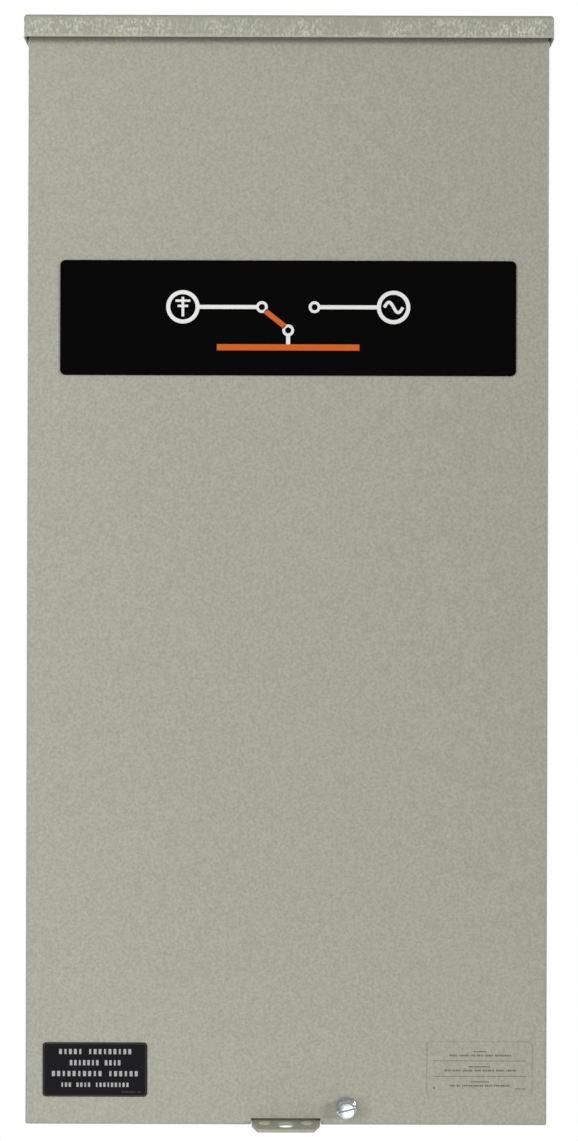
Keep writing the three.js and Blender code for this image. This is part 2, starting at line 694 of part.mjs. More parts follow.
function solenoidCoil(sign) {
  const { x, forward, near, far, plate, coilRadius } = SOLENOID;
  const span = [near + plate + GAP, far - plate - GAP];
  const length = span[1] - span[0];
  const r = coilRadius;
  const flange = 3;
  const winding = r - 2.5;
  const bobbin = [
    [8.9, 0],
    [r, 0],
    [r, flange],
    [winding, flange],
    [winding, length - flange],
    [r, length - flange],
    [r, length],
    [8.9, length],
    [8.9, 0],
  ];
  const profile = bobbin.map(([radius, height]) => new THREE.Vector2(radius, height));
  const coil = new THREE.LatheGeometry(profile, 28).rotateX(Math.PI / 2);
  return solid(coil.translate(x, -forward, sign > 0 ? span[0] : -span[1]));
}

function limitSwitch(sign) {
  const body = mirroredTo(sign, [24, 41]);
  const leaf = mirroredTo(sign, [18, 19.2]);
  const button = mirroredTo(sign, [19, 25]);
  return join(
    block([-69, -57.3], [-15, 14], body),
    block([-67, -60], [-12, 14], leaf),
    block([-66, -61], [-8, -4], button),
  );
}

function transferSwitch() {
  const group = new THREE.Group();
  group.position.set(0, -SHAFT.forward, SHAFT.z);
  group.add(piece("switch_base", switchBase(), MATERIAL.blackMoulding), thrownGroup());
  for (const [label, side] of [["left", -1], ["right", 1]]) {
    group.add(
      piece(`bearing_bracket_${label}`, bearingBracket(side), MATERIAL.galvanised),
      piece(`pole_housing_${label}`, poleHousing(side), MATERIAL.greyMoulding),
      piece(`utility_contact_${label}`, utilityContact(side), MATERIAL.copper),
      piece(`standby_terminal_${label}`, standbyTerminal(side), MATERIAL.aluminium),
      piece(`load_terminal_${label}`, loadTerminal(side), MATERIAL.aluminium),
    );
  }
  group.add(piece("drive_yoke", driveYoke(), MATERIAL.zinc));
  for (const [label, sign] of [["utility", 1], ["standby", -1]]) {
    group.add(
      piece(`plunger_${label}`, plunger(sign), MATERIAL.galvanised),
      piece(`solenoid_frame_${label}`, solenoidFrame(sign), MATERIAL.galvanised),
      piece(`solenoid_coil_${label}`, solenoidCoil(sign), MATERIAL.coil),
      piece(`limit_switch_${label}`, limitSwitch(sign), MATERIAL.blackMoulding),
    );
  }
  return group;
}

// ---------------------------------------------------------------- neutral, ground and controls
function neutralBar() {
  const z = [-212, -190];
  const wide = [-92, -52, 40].map((x) => rodZ(LUG.bore, [z[0] - 1, z[1] + 1], x, 48, 20));
  const narrow = [-28, -16, -4, 8, 20].map((x) => rodZ(3.2, [z[0] - 1, z[1] + 1], x, 48, 10));
  return cut(block([-112, 72], [36, 60], z), ...wide, ...narrow);
}

function neutralInsulator(x) {
  const foot = block(around(x, 26), [PANEL_FACE, 20], [-216, -186]);
  return join(foot, block(around(x, 20), [19, 35.7], [-211, -191]));
}

function groundBar() {
  const holes = [0, 1, 2, 3, 4].map((i) => rodZ(2.6, [-242, -226], 101 + i * 10, 19, 10));
  return cut(block([95, 147], [PANEL_FACE, 25], [-240, -228]), ...holes);
}

function boardTray() {
  const posts = [[-134, -318], [30, -318], [-134, -242], [30, -242]];
  return join(
    block([-144, 40], [PANEL_FACE, 16], [-328, -232]),
    ...posts.map(([x, z]) => rodForward(4, [15, 29.7], x, z, 12)),
  );
}

function terminalStrip() {
  const ways = 9;
  const pitch = 10;
  const start = -132;
  const z = [-324, -304];
  const walls = Array.from({ length: ways + 1 }, (_, i) =>
    block(around(start + i * pitch, 1.6), [34, 46], z),
  );
  return join(block([start - 0.8, start + ways * pitch + 0.8], [31.9, 38], z), ...walls);
}

function loadRelay() {
  return join(block([-18, 26], [31.9, 34], [-320, -288]), block([-16, 24], [33.5, 58], [-318, -290]));
}

function fuseBlock() {
  const walls = [60, 84, 108, 132].map((x) => block(around(x, 3), [20, 36], [-322, -262]));
  return join(block([58.5, 133.5], [PANEL_FACE, 21], [-322, -262]), ...walls);
}

// A tied bundle of wires along a route of [x, forward, z] points.
function harness(radius, route, steps) {
  const curve = new THREE.CatmullRomCurve3(route.map(([x, forward, z]) => new THREE.Vector3(x, -forward, z)));
  const section = new THREE.Shape();
  section.absarc(0, 0, radius, 0, 2 * Math.PI);
  return solid(new THREE.ExtrudeGeometry(section, { steps, extrudePath: curve, curveSegments: 4 }));
}

// From the control board up the left edge of the base to the limit switches.
const CONTROL_ROUTE = [
  [-124, 36, -240],
  [-122, 36, -206],
  [-112, 34, -160],
  [-104, 33, -120],
  [-104, 33, -50],
  [-96, 36, -12],
  [-71, 47, 8],
];

// From the fuse block up the right edge of the base to the solenoid coils.
const COIL_ROUTE = [
  [96, 42, -257],
  [104, 38, -240],
  [108, 36, -190],
  [108, 33, -110],
  [108, 33, -40],
  [109, 42, 0],
  [107, 58, 36],
];

function controls() {
  const group = new THREE.Group();
  group.add(
    piece("neutral_bar", neutralBar(), MATERIAL.aluminium),
    piece("neutral_insulator_left", neutralInsulator(-74), MATERIAL.insulator),
    piece("neutral_insulator_right", neutralInsulator(56), MATERIAL.insulator),
    piece("ground_bar", groundBar(), MATERIAL.aluminium),
    piece("board_tray", boardTray(), MATERIAL.blackMoulding),
    piece("control_board", block([-142, 38], [30, 31.6], [-326, -234]), MATERIAL.board),
    piece("terminal_strip", terminalStrip(), MATERIAL.terminal),
    piece("load_relay", loadRelay(), MATERIAL.relay),
    piece("fuse_block", fuseBlock(), MATERIAL.terminal),
    piece("control_harness", harness(4, CONTROL_ROUTE, 34), MATERIAL.wire),
    piece("coil_harness", harness(3, COIL_ROUTE, 34), MATERIAL.wire),
  );
  return group;
}

const transferSwitchAssembly = new THREE.Group();
transferSwitchAssembly.add(enclosure(), cover(), serviceDisconnect(), transferSwitch(), controls());

export default transferSwitchAssembly;
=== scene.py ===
"""A wall-mounted automatic transfer switch: the looks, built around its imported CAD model.

Lengths in this script are millimetres: x across, f forward of the wall and z up, so that f = -y. A shape is
turned into metres when it becomes a piece. Places come from the CAD nodes' boxes.
"""

import json
import math

import bmesh
import bpy
from mathutils import Matrix, Vector


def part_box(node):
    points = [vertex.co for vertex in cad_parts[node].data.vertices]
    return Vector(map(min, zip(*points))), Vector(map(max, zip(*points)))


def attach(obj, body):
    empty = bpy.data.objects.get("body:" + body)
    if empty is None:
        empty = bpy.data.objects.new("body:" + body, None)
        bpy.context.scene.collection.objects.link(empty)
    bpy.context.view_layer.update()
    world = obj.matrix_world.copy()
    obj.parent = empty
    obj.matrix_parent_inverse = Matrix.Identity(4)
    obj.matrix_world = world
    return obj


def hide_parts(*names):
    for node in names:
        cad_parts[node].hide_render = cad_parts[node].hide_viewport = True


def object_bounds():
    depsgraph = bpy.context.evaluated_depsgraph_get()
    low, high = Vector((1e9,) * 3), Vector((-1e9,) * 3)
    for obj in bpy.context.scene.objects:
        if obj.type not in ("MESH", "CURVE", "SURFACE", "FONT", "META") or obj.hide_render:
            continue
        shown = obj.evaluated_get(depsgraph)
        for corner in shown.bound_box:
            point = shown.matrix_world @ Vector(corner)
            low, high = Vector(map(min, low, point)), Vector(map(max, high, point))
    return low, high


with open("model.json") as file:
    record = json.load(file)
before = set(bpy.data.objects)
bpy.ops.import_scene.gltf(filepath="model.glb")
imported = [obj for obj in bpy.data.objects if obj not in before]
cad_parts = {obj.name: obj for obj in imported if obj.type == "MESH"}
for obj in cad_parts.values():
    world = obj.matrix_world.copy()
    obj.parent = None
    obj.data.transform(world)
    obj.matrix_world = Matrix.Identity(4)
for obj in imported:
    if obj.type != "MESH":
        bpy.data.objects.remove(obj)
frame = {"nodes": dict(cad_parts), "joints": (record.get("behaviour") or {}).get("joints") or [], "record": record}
cad_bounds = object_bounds()

MM = 0.001
SHARP = 34  # edges that turn by more degrees than this stay crisp
SUNK = 0.02  # how far a print or a small part starts under the surface that it is on
NODE_BODY = {n: b for b, nodes in frame["record"]["behaviour"]["bodies"].items() for n in nodes}
NODE_SLOT = {s["node"]: s["material_slot"] for s in frame["record"]["subparts"]}
JOINT = {j["name"]: j for j in frame["joints"]}


# ---------------- places
class Span:
    """A CAD node's box: x0 to x1 across, f0 to f1 forward, z0 to z1 up, and its middle."""

    def __init__(self, node):
        low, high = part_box(node)
        self.x0, self.x1 = low.x / MM, high.x / MM
        self.f0, self.f1 = -high.y / MM, -low.y / MM
        self.z0, self.z1 = low.z / MM, high.z / MM
        self.x = (self.x0 + self.x1) / 2
        self.f = (self.f0 + self.f1) / 2
        self.z = (self.z0 + self.z1) / 2


def rotation(axis, degrees):
    return Matrix.Rotation(math.radians(degrees), 4, axis)


def shift(x, y, z):
    return Matrix.Translation((x, y, z))


FACING = {
    "front": rotation("X", 90),
    "up": Matrix.Identity(4),
    "down": rotation("X", 180),
    "right": rotation("Y", 90),
    "left": rotation("Y", -90),
}


def at(x, f, z, facing="front", turn=0):
    """Places a shape whose own Z axis points out of the face that it sits on."""
    return shift(x, -f, z) @ FACING[facing] @ rotation("Z", turn)


def both_sides(x, f, heights):
    """Places on the left and on the right, at each of the heights."""
    return [(side * x, f, z) for side in (-1, 1) for z in heights]


def joint_axis(name):
    """A hinge's place as (f, z)."""
    _, y, z = JOINT[name]["pos_m"]
    return -y / MM, z / MM


# ---------------- outlines
def polar(radius, degrees):
    angle = math.radians(degrees)
    return radius * math.cos(angle), radius * math.sin(angle)


def hex_radius(across_flats, degrees):
    """How far a hexagon's edge is from its middle, in a direction."""
    return across_flats / 2 / math.cos(math.radians(degrees % 60 - 30))


def arc(x, y, radius, start, end, steps):
    angles = [math.radians(start + (end - start) * i / steps) for i in range(steps + 1)]
    return [(x + radius * math.cos(a), y + radius * math.sin(a)) for a in angles]


def circle(radius, sides=24, x=0, y=0):
    return arc(x, y, radius, 0, 360, sides)[:-1]


def rounded(width, height, corner, steps=4):
    w, h = width / 2 - corner, height / 2 - corner
    quarters = [(w, -h, -90), (w, h, 0), (-w, h, 90), (-w, -h, 180)]
    return [p for x, y, start in quarters for p in arc(x, y, corner, start, start + 90, steps)]


def smooth_path(points, per_span=8):
    """A Catmull-Rom curve through points of (x, f, z), as vectors in the scene's directions."""
    p = [Vector((x, -f, z)) for x, f, z in points]
    p = [2 * p[0] - p[1], *p, 2 * p[-1] - p[-2]]
    path = []
    for a, b, c, d in zip(p, p[1:], p[2:], p[3:]):
        for i in range(per_span):
            t = i / per_span
            curve = (3 * b - a - 3 * c + d) * t**3 + (2 * a - 5 * b + 4 * c - d) * t**2 + (c - a) * t
            path.append(b + curve / 2)
    return [*path, p[-2]]


def tangents(path):
    last = len(path) - 1
    return [(path[min(i + 1, last)] - path[max(i - 1, 0)]).normalized() for i in range(last + 1)]


def frames_along(path):
    """A place at each point of a path, with Z along it, that turns no more than it must."""
    side = tangents(path)[0].orthogonal().normalized()
    places = []
    for point, tangent in zip(path, tangents(path)):
        side = (side - tangent * side.dot(tangent)).normalized()
        axes = Matrix((side, tangent.cross(side), tangent)).transposed().to_4x4()
        places.append(Matrix.Translation(point) @ axes)
    return places


# ---------------- mesh building
class Build:
    """Collects closed shapes into one mesh. put() says where the next shapes go, and in which material."""

    def __init__(self):
        self.bm = bmesh.new()
        self.place = Matrix.Identity(4)
        self.material = 0

    def put(self, place, material=None):
        self.place = place
        if material is not None:
            self.material = material
        return self

    def rings(self, rings, closed=False):
        """Joins rings of points. The ends are capped, or joined to each other when closed."""
        rows = [[self.bm.verts.new(self.place @ Vector(p)) for p in ring] for ring in rings]
        if closed:
            rows.append(rows[0])
        faces = []
        for low, high in zip(rows, rows[1:]):
            for i in range(len(low)):
                j = (i + 1) % len(low)
                faces.append(self.bm.faces.new((low[i], low[j], high[j], high[i])))
        if not closed:
            faces.append(self.bm.faces.new(rows[0][::-1]))
            faces.append(self.bm.faces.new(rows[-1]))
        for face in faces:
            face.material_index = self.material
        return self

    def stack(self, levels, closed=False):
        """Joins flat outlines, each at its own height."""
        return self.rings([[(x, y, z) for x, y in outline] for outline, z in levels], closed)

    def prism(self, outline, low, high):
        return self.stack([(outline, low), (outline, high)])

    def box(self, xs, ys, zs):
        outline = [(xs[0], ys[0]), (xs[1], ys[0]), (xs[1], ys[1]), (xs[0], ys[1])]
        return self.prism(outline, *zs)

    def pillow(self, outline, low, high, edge=0.4):
        """A prism whose top edge is rounded."""
        def inset(amount):
            half = [max(abs(p[k]) for p in outline) for k in (0, 1)]
            return [tuple(p[k] * (1 - amount / half[k]) for k in (0, 1)) for p in outline]
        steps = [(0, low), (0, high - edge), (edge * 0.3, high - edge * 0.3), (edge, high)]
        return self.stack([(inset(a), z) for a, z in steps])

    def turned(self, profile, sides=24, closed=False):
        """A shape turned on Z from a profile of (radius, height)."""
        return self.stack([(circle(r, sides), z) for r, z in profile], closed)

    def tube(self, path, radius, sides=8):
        rings = []
        for place in frames_along(path):
            rings.append([place @ Vector((x, y, 0)) for x, y in circle(radius, sides)])
        keep, self.place = self.place, Matrix.Identity(4)
        self.rings(rings)
        self.place = keep
        return self

    def stroke(self, points, width, height):
        """A flat line of the given width through points, standing height high."""
        p = [Vector(q) for q in points]
        left, right = [], []
        for q, along in zip(p, tangents(p)):
            across = Vector((-along.y, along.x)) * width / 2
            left.append(tuple(q + across))
            right.append(tuple(q - across))
        return self.prism(right + left[::-1], 0, height)

    def loop(self, radius, width, height, x=0, y=0, sides=40):
        """A flat ring."""
        inner, outer = radius - width / 2, radius + width / 2
        profile = [(inner, 0), (outer, 0), (outer, height), (inner, height)]
        return self.stack([(circle(r, sides, x, y), z) for r, z in profile], closed=True)

    def hexagon(self, across_flats, height, chamfer=0.12):
        """A hexagon whose top corners are turned off."""
        flat, corner = across_flats / 2, hex_radius(across_flats, 0)
        levels = [
            (corner, 0),
            (corner, height * (1 - chamfer * 2)),
            (flat * 1.04, height * (1 - chamfer * 0.5)),
            (flat * 0.95, height),
        ]
        def outline(limit):
            return [polar(min(hex_radius(across_flats, a), limit), a) for a in range(0, 360, 10)]
        return self.stack([(outline(limit), z) for limit, z in levels])

    def slotted(self, radius, height, cross=False):
        """A screw head with a slot, or with a cross."""
        floor, gap, rim = height * 0.55, radius * 0.17, radius * 0.1
        self.turned([(radius - rim, 0), (radius, rim), (radius, floor)])
        reach = math.degrees(math.asin(gap / radius))
        crown = 0.86
        sector, steps = (90, 8) if cross else (180, 14)
        for start in range(0, 360, sector):
            edge = arc(0, 0, radius, start + reach, start + sector - reach, steps)
            if cross:
                inner = polar(gap * 1.41, start + 45)
                edge, top = [*edge, inner], [*[(x * crown, y * crown) for x, y in edge], inner]
            else:
                side = 1 if start == 0 else -1
                top = [(x * crown, max(y * side * crown, gap) * side) for x, y in edge]
            self.stack([(edge, floor * 0.98), (edge, height * 0.8), (top, height)])
        return self

    def socket(self, radius, low, high, across_flats, floor):
        """A set screw from low to high, with a hexagonal socket down to floor."""
        chamfer = radius * 0.12
        side = circle(radius)
        hexagon = [polar(hex_radius(across_flats, a), a) for a in range(0, 360, 15)]
        top = [(circle(radius - chamfer), high), (hexagon, high), (hexagon, floor)]
        return self.stack([(side, low), (side, high - chamfer), *top])

    def thread(self, radius, low, high, pitch=1.2, depth=0.55, sides=24):
        """A plain vee thread cut on a rod along Z."""
        steps = max(2, round((high - low) / pitch * 6))
        levels = []
        for i in range(steps + 1):
            z = low + (high - low) * i / steps
            outline = []
            for j in range(sides):
                turn = (z / pitch - j / sides) % 1
                outline.append(polar(radius - depth * (1 - abs(2 * turn - 1)), 360 * j / sides))
            levels.append((outline, z))
        return self.stack(levels)

    def mesh(self, name):
        """The shapes as one mesh, in metres."""
        bmesh.ops.recalc_face_normals(self.bm, faces=self.bm.faces)
        self.bm.transform(Matrix.Scale(MM, 4))
        mesh = bpy.data.meshes.new(name)
        self.bm.to_mesh(mesh)
        self.bm.free()
        return mesh

    def piece(self, name, materials, body="enclosure", slot=None, replaces=(), sharp=SHARP, bevel=0):
        settle(name, self.mesh(name), body, materials, replaces, sharp, bevel)


def add_object(name, data):
    made = bpy.data.objects.new(name, data)
    bpy.context.scene.collection.objects.link(made)
    return made


def settle(name, mesh, body, materials, replaces, sharp, bevel):
    """Makes a mesh a piece: smooth over its rounds, with its edges broken, riding on a body."""
    for material in materials:
        mesh.materials.append(material)
    mesh.shade_smooth()
    mesh.set_sharp_from_angle(angle=math.radians(sharp))
    piece = add_object(name, mesh)
    if bevel:
        edge = piece.modifiers.new("edges", "BEVEL")
        edge.width = bevel * MM
        edge.segments = 2
        edge.limit_method = "ANGLE"
        edge.angle_limit = math.radians(sharp)
        edge.use_clamp_overlap = False
        weighted = piece.modifiers.new("normals", "WEIGHTED_NORMAL")
        weighted.keep_sharp = True
    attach(piece, body)
    if replaces:
        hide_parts(*replaces)


def refined(node, material, bevel=0.3):
    """A CAD node with its flat facets joined, its rounds smooth and its edges broken."""
    bm = bmesh.new()
    bm.from_mesh(frame["nodes"][node].data)
    bmesh.ops.remove_doubles(bm, verts=bm.verts, dist=2e-6)
    bmesh.ops.dissolve_limit(bm, angle_limit=math.radians(0.5), verts=bm.verts, edges=bm.edges)
    mesh = bpy.data.meshes.new(node + "_made")
    bm.to_mesh(mesh)
    bm.free()
    settle(mesh.name, mesh, NODE_BODY[node], [material], [node], SHARP, bevel)


# ---------------- materials
class Finish:
    """A procedural material. Texture sizes are millimetres in the object's own space."""

    def __init__(self, name, colour, roughness, metallic=0.0, **sockets):
        self.material = bpy.data.materials.new(name)
        self.material.use_nodes = True
        self.nodes = self.material.node_tree.nodes
        self.links = self.material.node_tree.links
        self.shader = self.nodes["Principled BSDF"]
        self.colour = colour
        sockets |= {"Base_Color": (*colour, 1), "Roughness": roughness, "Metallic": metallic}
        for socket, value in sockets.items():
            self.shader.inputs[socket.replace("_", " ")].default_value = value
        place = self.add("TexCoord", {}).outputs["Object"]
        self.place = self.add("VectorMath", {0: place, "Scale": 1 / MM}, operation="SCALE").outputs[0]

    def add(self, kind, inputs, **settings):
        """A shader node. Each of its inputs is linked to a socket, or set to a value."""
        node = self.nodes.new("ShaderNode" + kind)
        for name, value in settings.items():
            setattr(node, name, value)
        for socket, value in inputs.items():
            if isinstance(value, bpy.types.NodeSocket):
                self.links.new(value, node.inputs[socket])
            else:
                node.inputs[socket].default_value = value
        return node

    def noise(self, size, detail=3.0, stretch=(1, 1, 1), rough=0.5):
        """Cloudy values from 0 to 1, with lumps of about the given size."""
        place = self.add("VectorMath", {0: self.place, 1: stretch}, operation="MULTIPLY").outputs[0]
        inputs = {"Vector": place, "Scale": 1 / size, "Detail": detail, "Roughness": rough}
        return self.add("TexNoise", inputs).outputs["Fac"]

    def cells(self, size, feature="F1", output="Distance"):
        inputs = {"Vector": self.place, "Scale": 1 / size}
        return self.add("TexVoronoi", inputs, feature=feature).outputs[output]

    def waves(self, size):
        """Bands across Z, one in each size. At a scale of 1 Blender makes one in each 0.314."""
        inputs = {"Vector": self.place, "Scale": 0.314 / size}
        return self.add("TexWave", inputs, bands_direction="Z").outputs["Fac"]

    def spread(self, value, low, high, start=0.25, end=0.75):
        """Values from start to end, stretched to low to high."""
        inputs = {"Value": value, "From Min": start, "From Max": end, "To Min": low, "To Max": high}
        return self.add("MapRange", inputs).outputs["Result"]

    def maths(self, operation, first, second):
        return self.add("Math", {0: first, 1: second}, operation=operation).outputs[0]

    def split(self, kind, value):
        return self.add("Separate" + kind, {0: value}).outputs

    def blend(self, amount, first, second):
        """A colour from first, at 0, to second, at 1. Either may be a colour or a socket."""
        first, second = [(*c, 1) if isinstance(c, tuple) else c for c in (first, second)]
        return self.add("Mix", {"Factor": amount, 6: first, 7: second}, data_type="RGBA").outputs[2]

    def shade(self, low, high):
        """The base colour, darker and lighter by two factors."""
        return tuple(c * low for c in self.colour), tuple(min(1, c * high) for c in self.colour)

    def colours(self, colour):
        self.links.new(colour, self.shader.inputs["Base Color"])
        return self

    def gloss(self, value):
        self.links.new(value, self.shader.inputs["Roughness"])
        return self

    def mottled(self, size, detail, low, high):
        """Lets the colour drift between two shades of itself."""
        return self.colours(self.blend(self.spread(self.noise(size, detail), 0, 1), *self.shade(low, high)))

    def patchy_gloss(self, size, detail, low, high):
        return self.gloss(self.spread(self.noise(size, detail), low, high))

    def relief(self, height, depth):
        """Bump of a given depth in millimetres."""
        node = self.add("Bump", {"Distance": depth * MM, "Height": height})
        self.links.new(node.outputs["Normal"], self.shader.inputs["Normal"])
        return self


def powder_coat(name, gain=1.0, roughness=0.48):
    """Grey textured paint: a fine pebbled skin with slow drifts of shade."""
    f = Finish(name, tuple(c * gain for c in (0.4, 0.406, 0.331)), roughness, Specular_IOR_Level=0.42)
    pebbles = f.cells(1.6, "SMOOTH_F1")
    fine = f.noise(1.7, 3.0, rough=0.6)
    drift = f.noise(90, 3.0)
    skin = f.maths("ADD", f.maths("MULTIPLY", pebbles, 0.6), f.maths("MULTIPLY", fine, 0.6))
    slow = f.blend(f.spread(drift, 0, 1), *f.shade(0.975, 1.02))
    grain = f.blend(f.spread(fine, 0, 1, 0.34, 0.66), *f.shade(0.83, 1.17))
    f.colours(f.blend(f.spread(pebbles, 0.5, 0.85, 0.1, 0.8), slow, grain))
    f.gloss(f.spread(fine, roughness * 0.78, roughness * 1.25))
    return f.relief(skin, 0.16).material


def wrinkled_coat_painted_light(name, part):
    """The same paint where it ran and wrinkled, with painted light: the tops of its wrinkles painted lighter as
    painted highlights, a painted highlight along the part's lower edge, and fewer highlights near its top, a
    painted shade.
    """
    f = Finish(name, (0.385, 0.392, 0.318), 0.4, Specular_IOR_Level=0.5)
    ridges = f.noise(1.9, 3.0, stretch=(1.3, 1, 0.7), rough=0.62)
    fine = f.noise(0.9, 3.0)
    patches = f.noise(34, 3.0)
    height = f.split("XYZ", f.place)[2]
    # Painted shade: near the top the painted highlights fade out, so the top band is darker.
    top_shade = f.spread(height, 1, 0.2, part.z1 - 5, part.z1 - 1.5)
    # Painted highlights: the tops of the wrinkles are painted lighter, up to twice the base colour in patches.
    crest_highlights = f.maths("MULTIPLY", f.spread(ridges, 0, 1, 0.46, 0.6), top_shade)
    shade = f.blend(crest_highlights, f.colour, f.blend(f.spread(patches, 0, 1, 0.35, 0.6), *f.shade(1.12, 2.0)))
    # Painted highlight: lighter along the part's lower edge, broken by fine noise.
    rim = f.maths("MULTIPLY", f.spread(height, 1, 0, part.z0 + 0.4, part.z0 + 2.2), f.spread(fine, 0.5, 1))
    speckled = f.blend(f.spread(fine, 0, 0.5), shade, f.shade(0.85, 1)[0])
    f.colours(f.blend(rim, speckled, f.shade(1, 1.35)[1]))
    f.gloss(f.spread(ridges, 0.32, 0.55))
    skin = f.maths("ADD", ridges, f.maths("MULTIPLY", fine, 0.35))
    return f.relief(skin, 0.7).material


def black_film(name, tone, specular):
    """Glossy black film with a little dust."""
    f = Finish(name, (tone, tone, tone * 1.15), 0.1, Specular_IOR_Level=specular)
    dust = f.noise(0.6, 2.0)
    f.colours(f.blend(f.spread(dust, 0, 1, 0.66, 0.8), f.colour, (tone * 4, tone * 4, tone * 4)))
    f.patchy_gloss(20, 4.0, 0.07, 0.13)
    return f.relief(f.noise(40, 1.0), 0.02).material


def ink(name, colour):
    f = Finish(name, colour, 0.35).mottled(0.5, 2.0, 0.93, 1.04)
    return f.patchy_gloss(3, 2.0, 0.3, 0.42).material


def plated(name, colour, roughness, wear=0.12):
    """Bright plating, slightly clouded."""
    f = Finish(name, colour, roughness, 1.0).mottled(3.2, 4.0, 1 - wear, 1.05)
    f.patchy_gloss(1.1, 3.0, roughness * 0.75, roughness * 1.35)
    return f.relief(f.noise(0.35, 3.0), 0.012).material


def galvanised():
    """Hot-dip zinc sheet with its crystal spangle."""
    f = Finish("galvanised", (0.55, 0.565, 0.58), 0.42, 1.0)
    tone, sheen = f.split("Color", f.cells(5.5, output="Color"))[:2]
    patch = f.blend(tone, *f.shade(0.88, 1.1))
    stain = f.spread(f.noise(22, 4.0), 0, 0.3, 0.55, 0.8)
    f.colours(f.blend(stain, patch, (0.36, 0.37, 0.37)))
    f.gloss(f.spread(sheen, 0.33, 0.55, 0, 1))
    return f.relief(f.noise(0.8, 3.0), 0.01).material


def moulded(name, colour, roughness=0.45, grain=0.5):
    """Moulded plastic with a fine spark-eroded grain."""
    f = Finish(name, colour, roughness).mottled(9, 4.0, 0.84, 1.16)
    f.patchy_gloss(2.4, 3.0, roughness * 0.82, roughness * 1.2)
    return f.relief(f.noise(grain, 2.0), 0.03).material


def bar_metal(name, colour, roughness, tarnish):
    """Sawn and rolled bar: fine lines along it and patches of tarnish."""
    f = Finish(name, colour, roughness, 1.0)
    lines = f.noise(0.5, 3.0, stretch=(1, 1, 0.04))
    patches = f.spread(f.noise(12, 4.0), 0, 0.55, 0.45, 0.75)
    f.colours(f.blend(patches, f.blend(f.spread(lines, 0, 1), *f.shade(0.9, 1.06)), tarnish))
    f.gloss(f.spread(lines, roughness * 0.75, roughness * 1.3))
    return f.relief(lines, 0.02).material


def wound_tape():
    """Amber tape lapped round a coil."""
    f = Finish("wound_tape", (0.46, 0.2, 0.03), 0.36)
    laps = f.waves(9)
    f.mottled(7, 3.0, 0.75, 1.15).patchy_gloss(3, 2.0, 0.28, 0.45)
    return f.relief(f.maths("ADD", laps, f.maths("MULTIPLY", f.noise(2, 3.0), 0.3)), 0.2).material


def solder_mask():
    """A green board with its tracks showing through."""
    f = Finish("solder_mask", (0.01, 0.1, 0.035), 0.3)
    flat = f.add("Mapping", {"Vector": f.place, "Rotation": (math.radians(90), 0, 0)}).outputs["Vector"]
    sizes = {"Scale": 1, "Mortar Size": 0.28, "Mortar Smooth": 0.2, "Brick Width": 8.6, "Row Height": 2.3}
    rows = f.add("TexBrick", {"Vector": flat, **sizes}).outputs["Fac"]
    pads = f.spread(f.cells(4.6), 1, 0, 0.1, 0.14)
    bare = f.spread(f.noise(9, 1.0), 0, 1, 0.45, 0.5)
    tracks = f.maths("MAXIMUM", f.maths("MULTIPLY", rows, bare), pads)
    f.colours(f.blend(tracks, f.colour, (0.03, 0.2, 0.075))).patchy_gloss(4, 2.0, 0.25, 0.38)
    return f.relief(tracks, 0.03).material


def insulation(name, colour):
    f = Finish(name, colour, 0.4).mottled(5, 3.0, 0.85, 1.1).patchy_gloss(1.5, 2.0, 0.33, 0.5)
    return f.relief(f.noise(1.2, 2.0), 0.03).material


def card(name, colour):
    """Printed card or fibre."""
    f = Finish(name, colour, 0.7).mottled(1.2, 4.0, 0.92, 1.04).patchy_gloss(4, 2.0, 0.6, 0.8)
    return f.relief(f.noise(0.4, 3.0), 0.02).material


PAINT = powder_coat("powder_coat")
# The rivets' paint is a lighter copy of the enclosure paint: a painted highlight on the rivet heads.
HIGHLIT_RIVET_PAINT = powder_coat("highlit_rivet_paint", 1.2, 0.2)
# The drip cap's paint, with painted highlights and a painted shade in its colour.
CAP_PAINT = wrinkled_coat_painted_light("wrinkled_coat_painted_light", Span("drip_cap"))
FILM = black_film("black_film", 0.0015, 0.08)
LABEL_FILM = black_film("label_film", 0.0095, 0.25)
RIM_INK = ink("rim_ink", (0.045, 0.045, 0.05))
WHITE_INK = ink("white_ink", (0.86, 0.86, 0.85))
ORANGE_INK = ink("orange_ink", (0.68, 0.125, 0.012))
GREY_INK = ink("grey_ink", (0.42, 0.42, 0.42))
DARK_INK = ink("dark_ink", (0.12, 0.12, 0.1))
CLEAR = powder_coat("clear_film", 0.985, 0.38)
ZINC = plated("zinc_plate", (0.7, 0.72, 0.73), 0.3)
BRIGHT_ZINC = plated("bright_zinc", (0.86, 0.92, 0.95), 0.12, 0.05)
BLACK_OXIDE = plated("black_oxide", (0.05, 0.05, 0.055), 0.4)
BRASS = plated("brass", (0.78, 0.56, 0.24), 0.28)
SILVER = plated("silver_contact", (0.86, 0.85, 0.82), 0.3)
GALVANISED = galvanised()
BLACK = moulded("black_moulding", (0.016, 0.016, 0.017))
GREY = moulded("grey_moulding", (0.11, 0.115, 0.12))
BROWN = moulded("phenolic_shaft", (0.16, 0.045, 0.022), 0.42)
RED_GRIP = moulded("red_grip", (0.46, 0.014, 0.014), 0.36, 0.8)
RED_INSULATOR = moulded("red_insulator", (0.27, 0.022, 0.014), 0.5)
BLUE = moulded("blue_relay", (0.02, 0.085, 0.26), 0.3)
CREAM = moulded("cream_moulding", (0.68, 0.64, 0.5), 0.45)
COPPER = bar_metal("copper_bar", (0.86, 0.43, 0.27), 0.3, (0.32, 0.13, 0.07))
TINNED = bar_metal("tinned_bar", (0.64, 0.65, 0.66), 0.36, (0.42, 0.42, 0.41))
STEEL = plated("steel_plate", (0.5, 0.51, 0.52), 0.38)
TAPE = wound_tape()
BOARD = solder_mask()
CARD = card("label_card", (0.78, 0.78, 0.75))
FIBRE = card("fuse_fibre", (0.62, 0.55, 0.4))
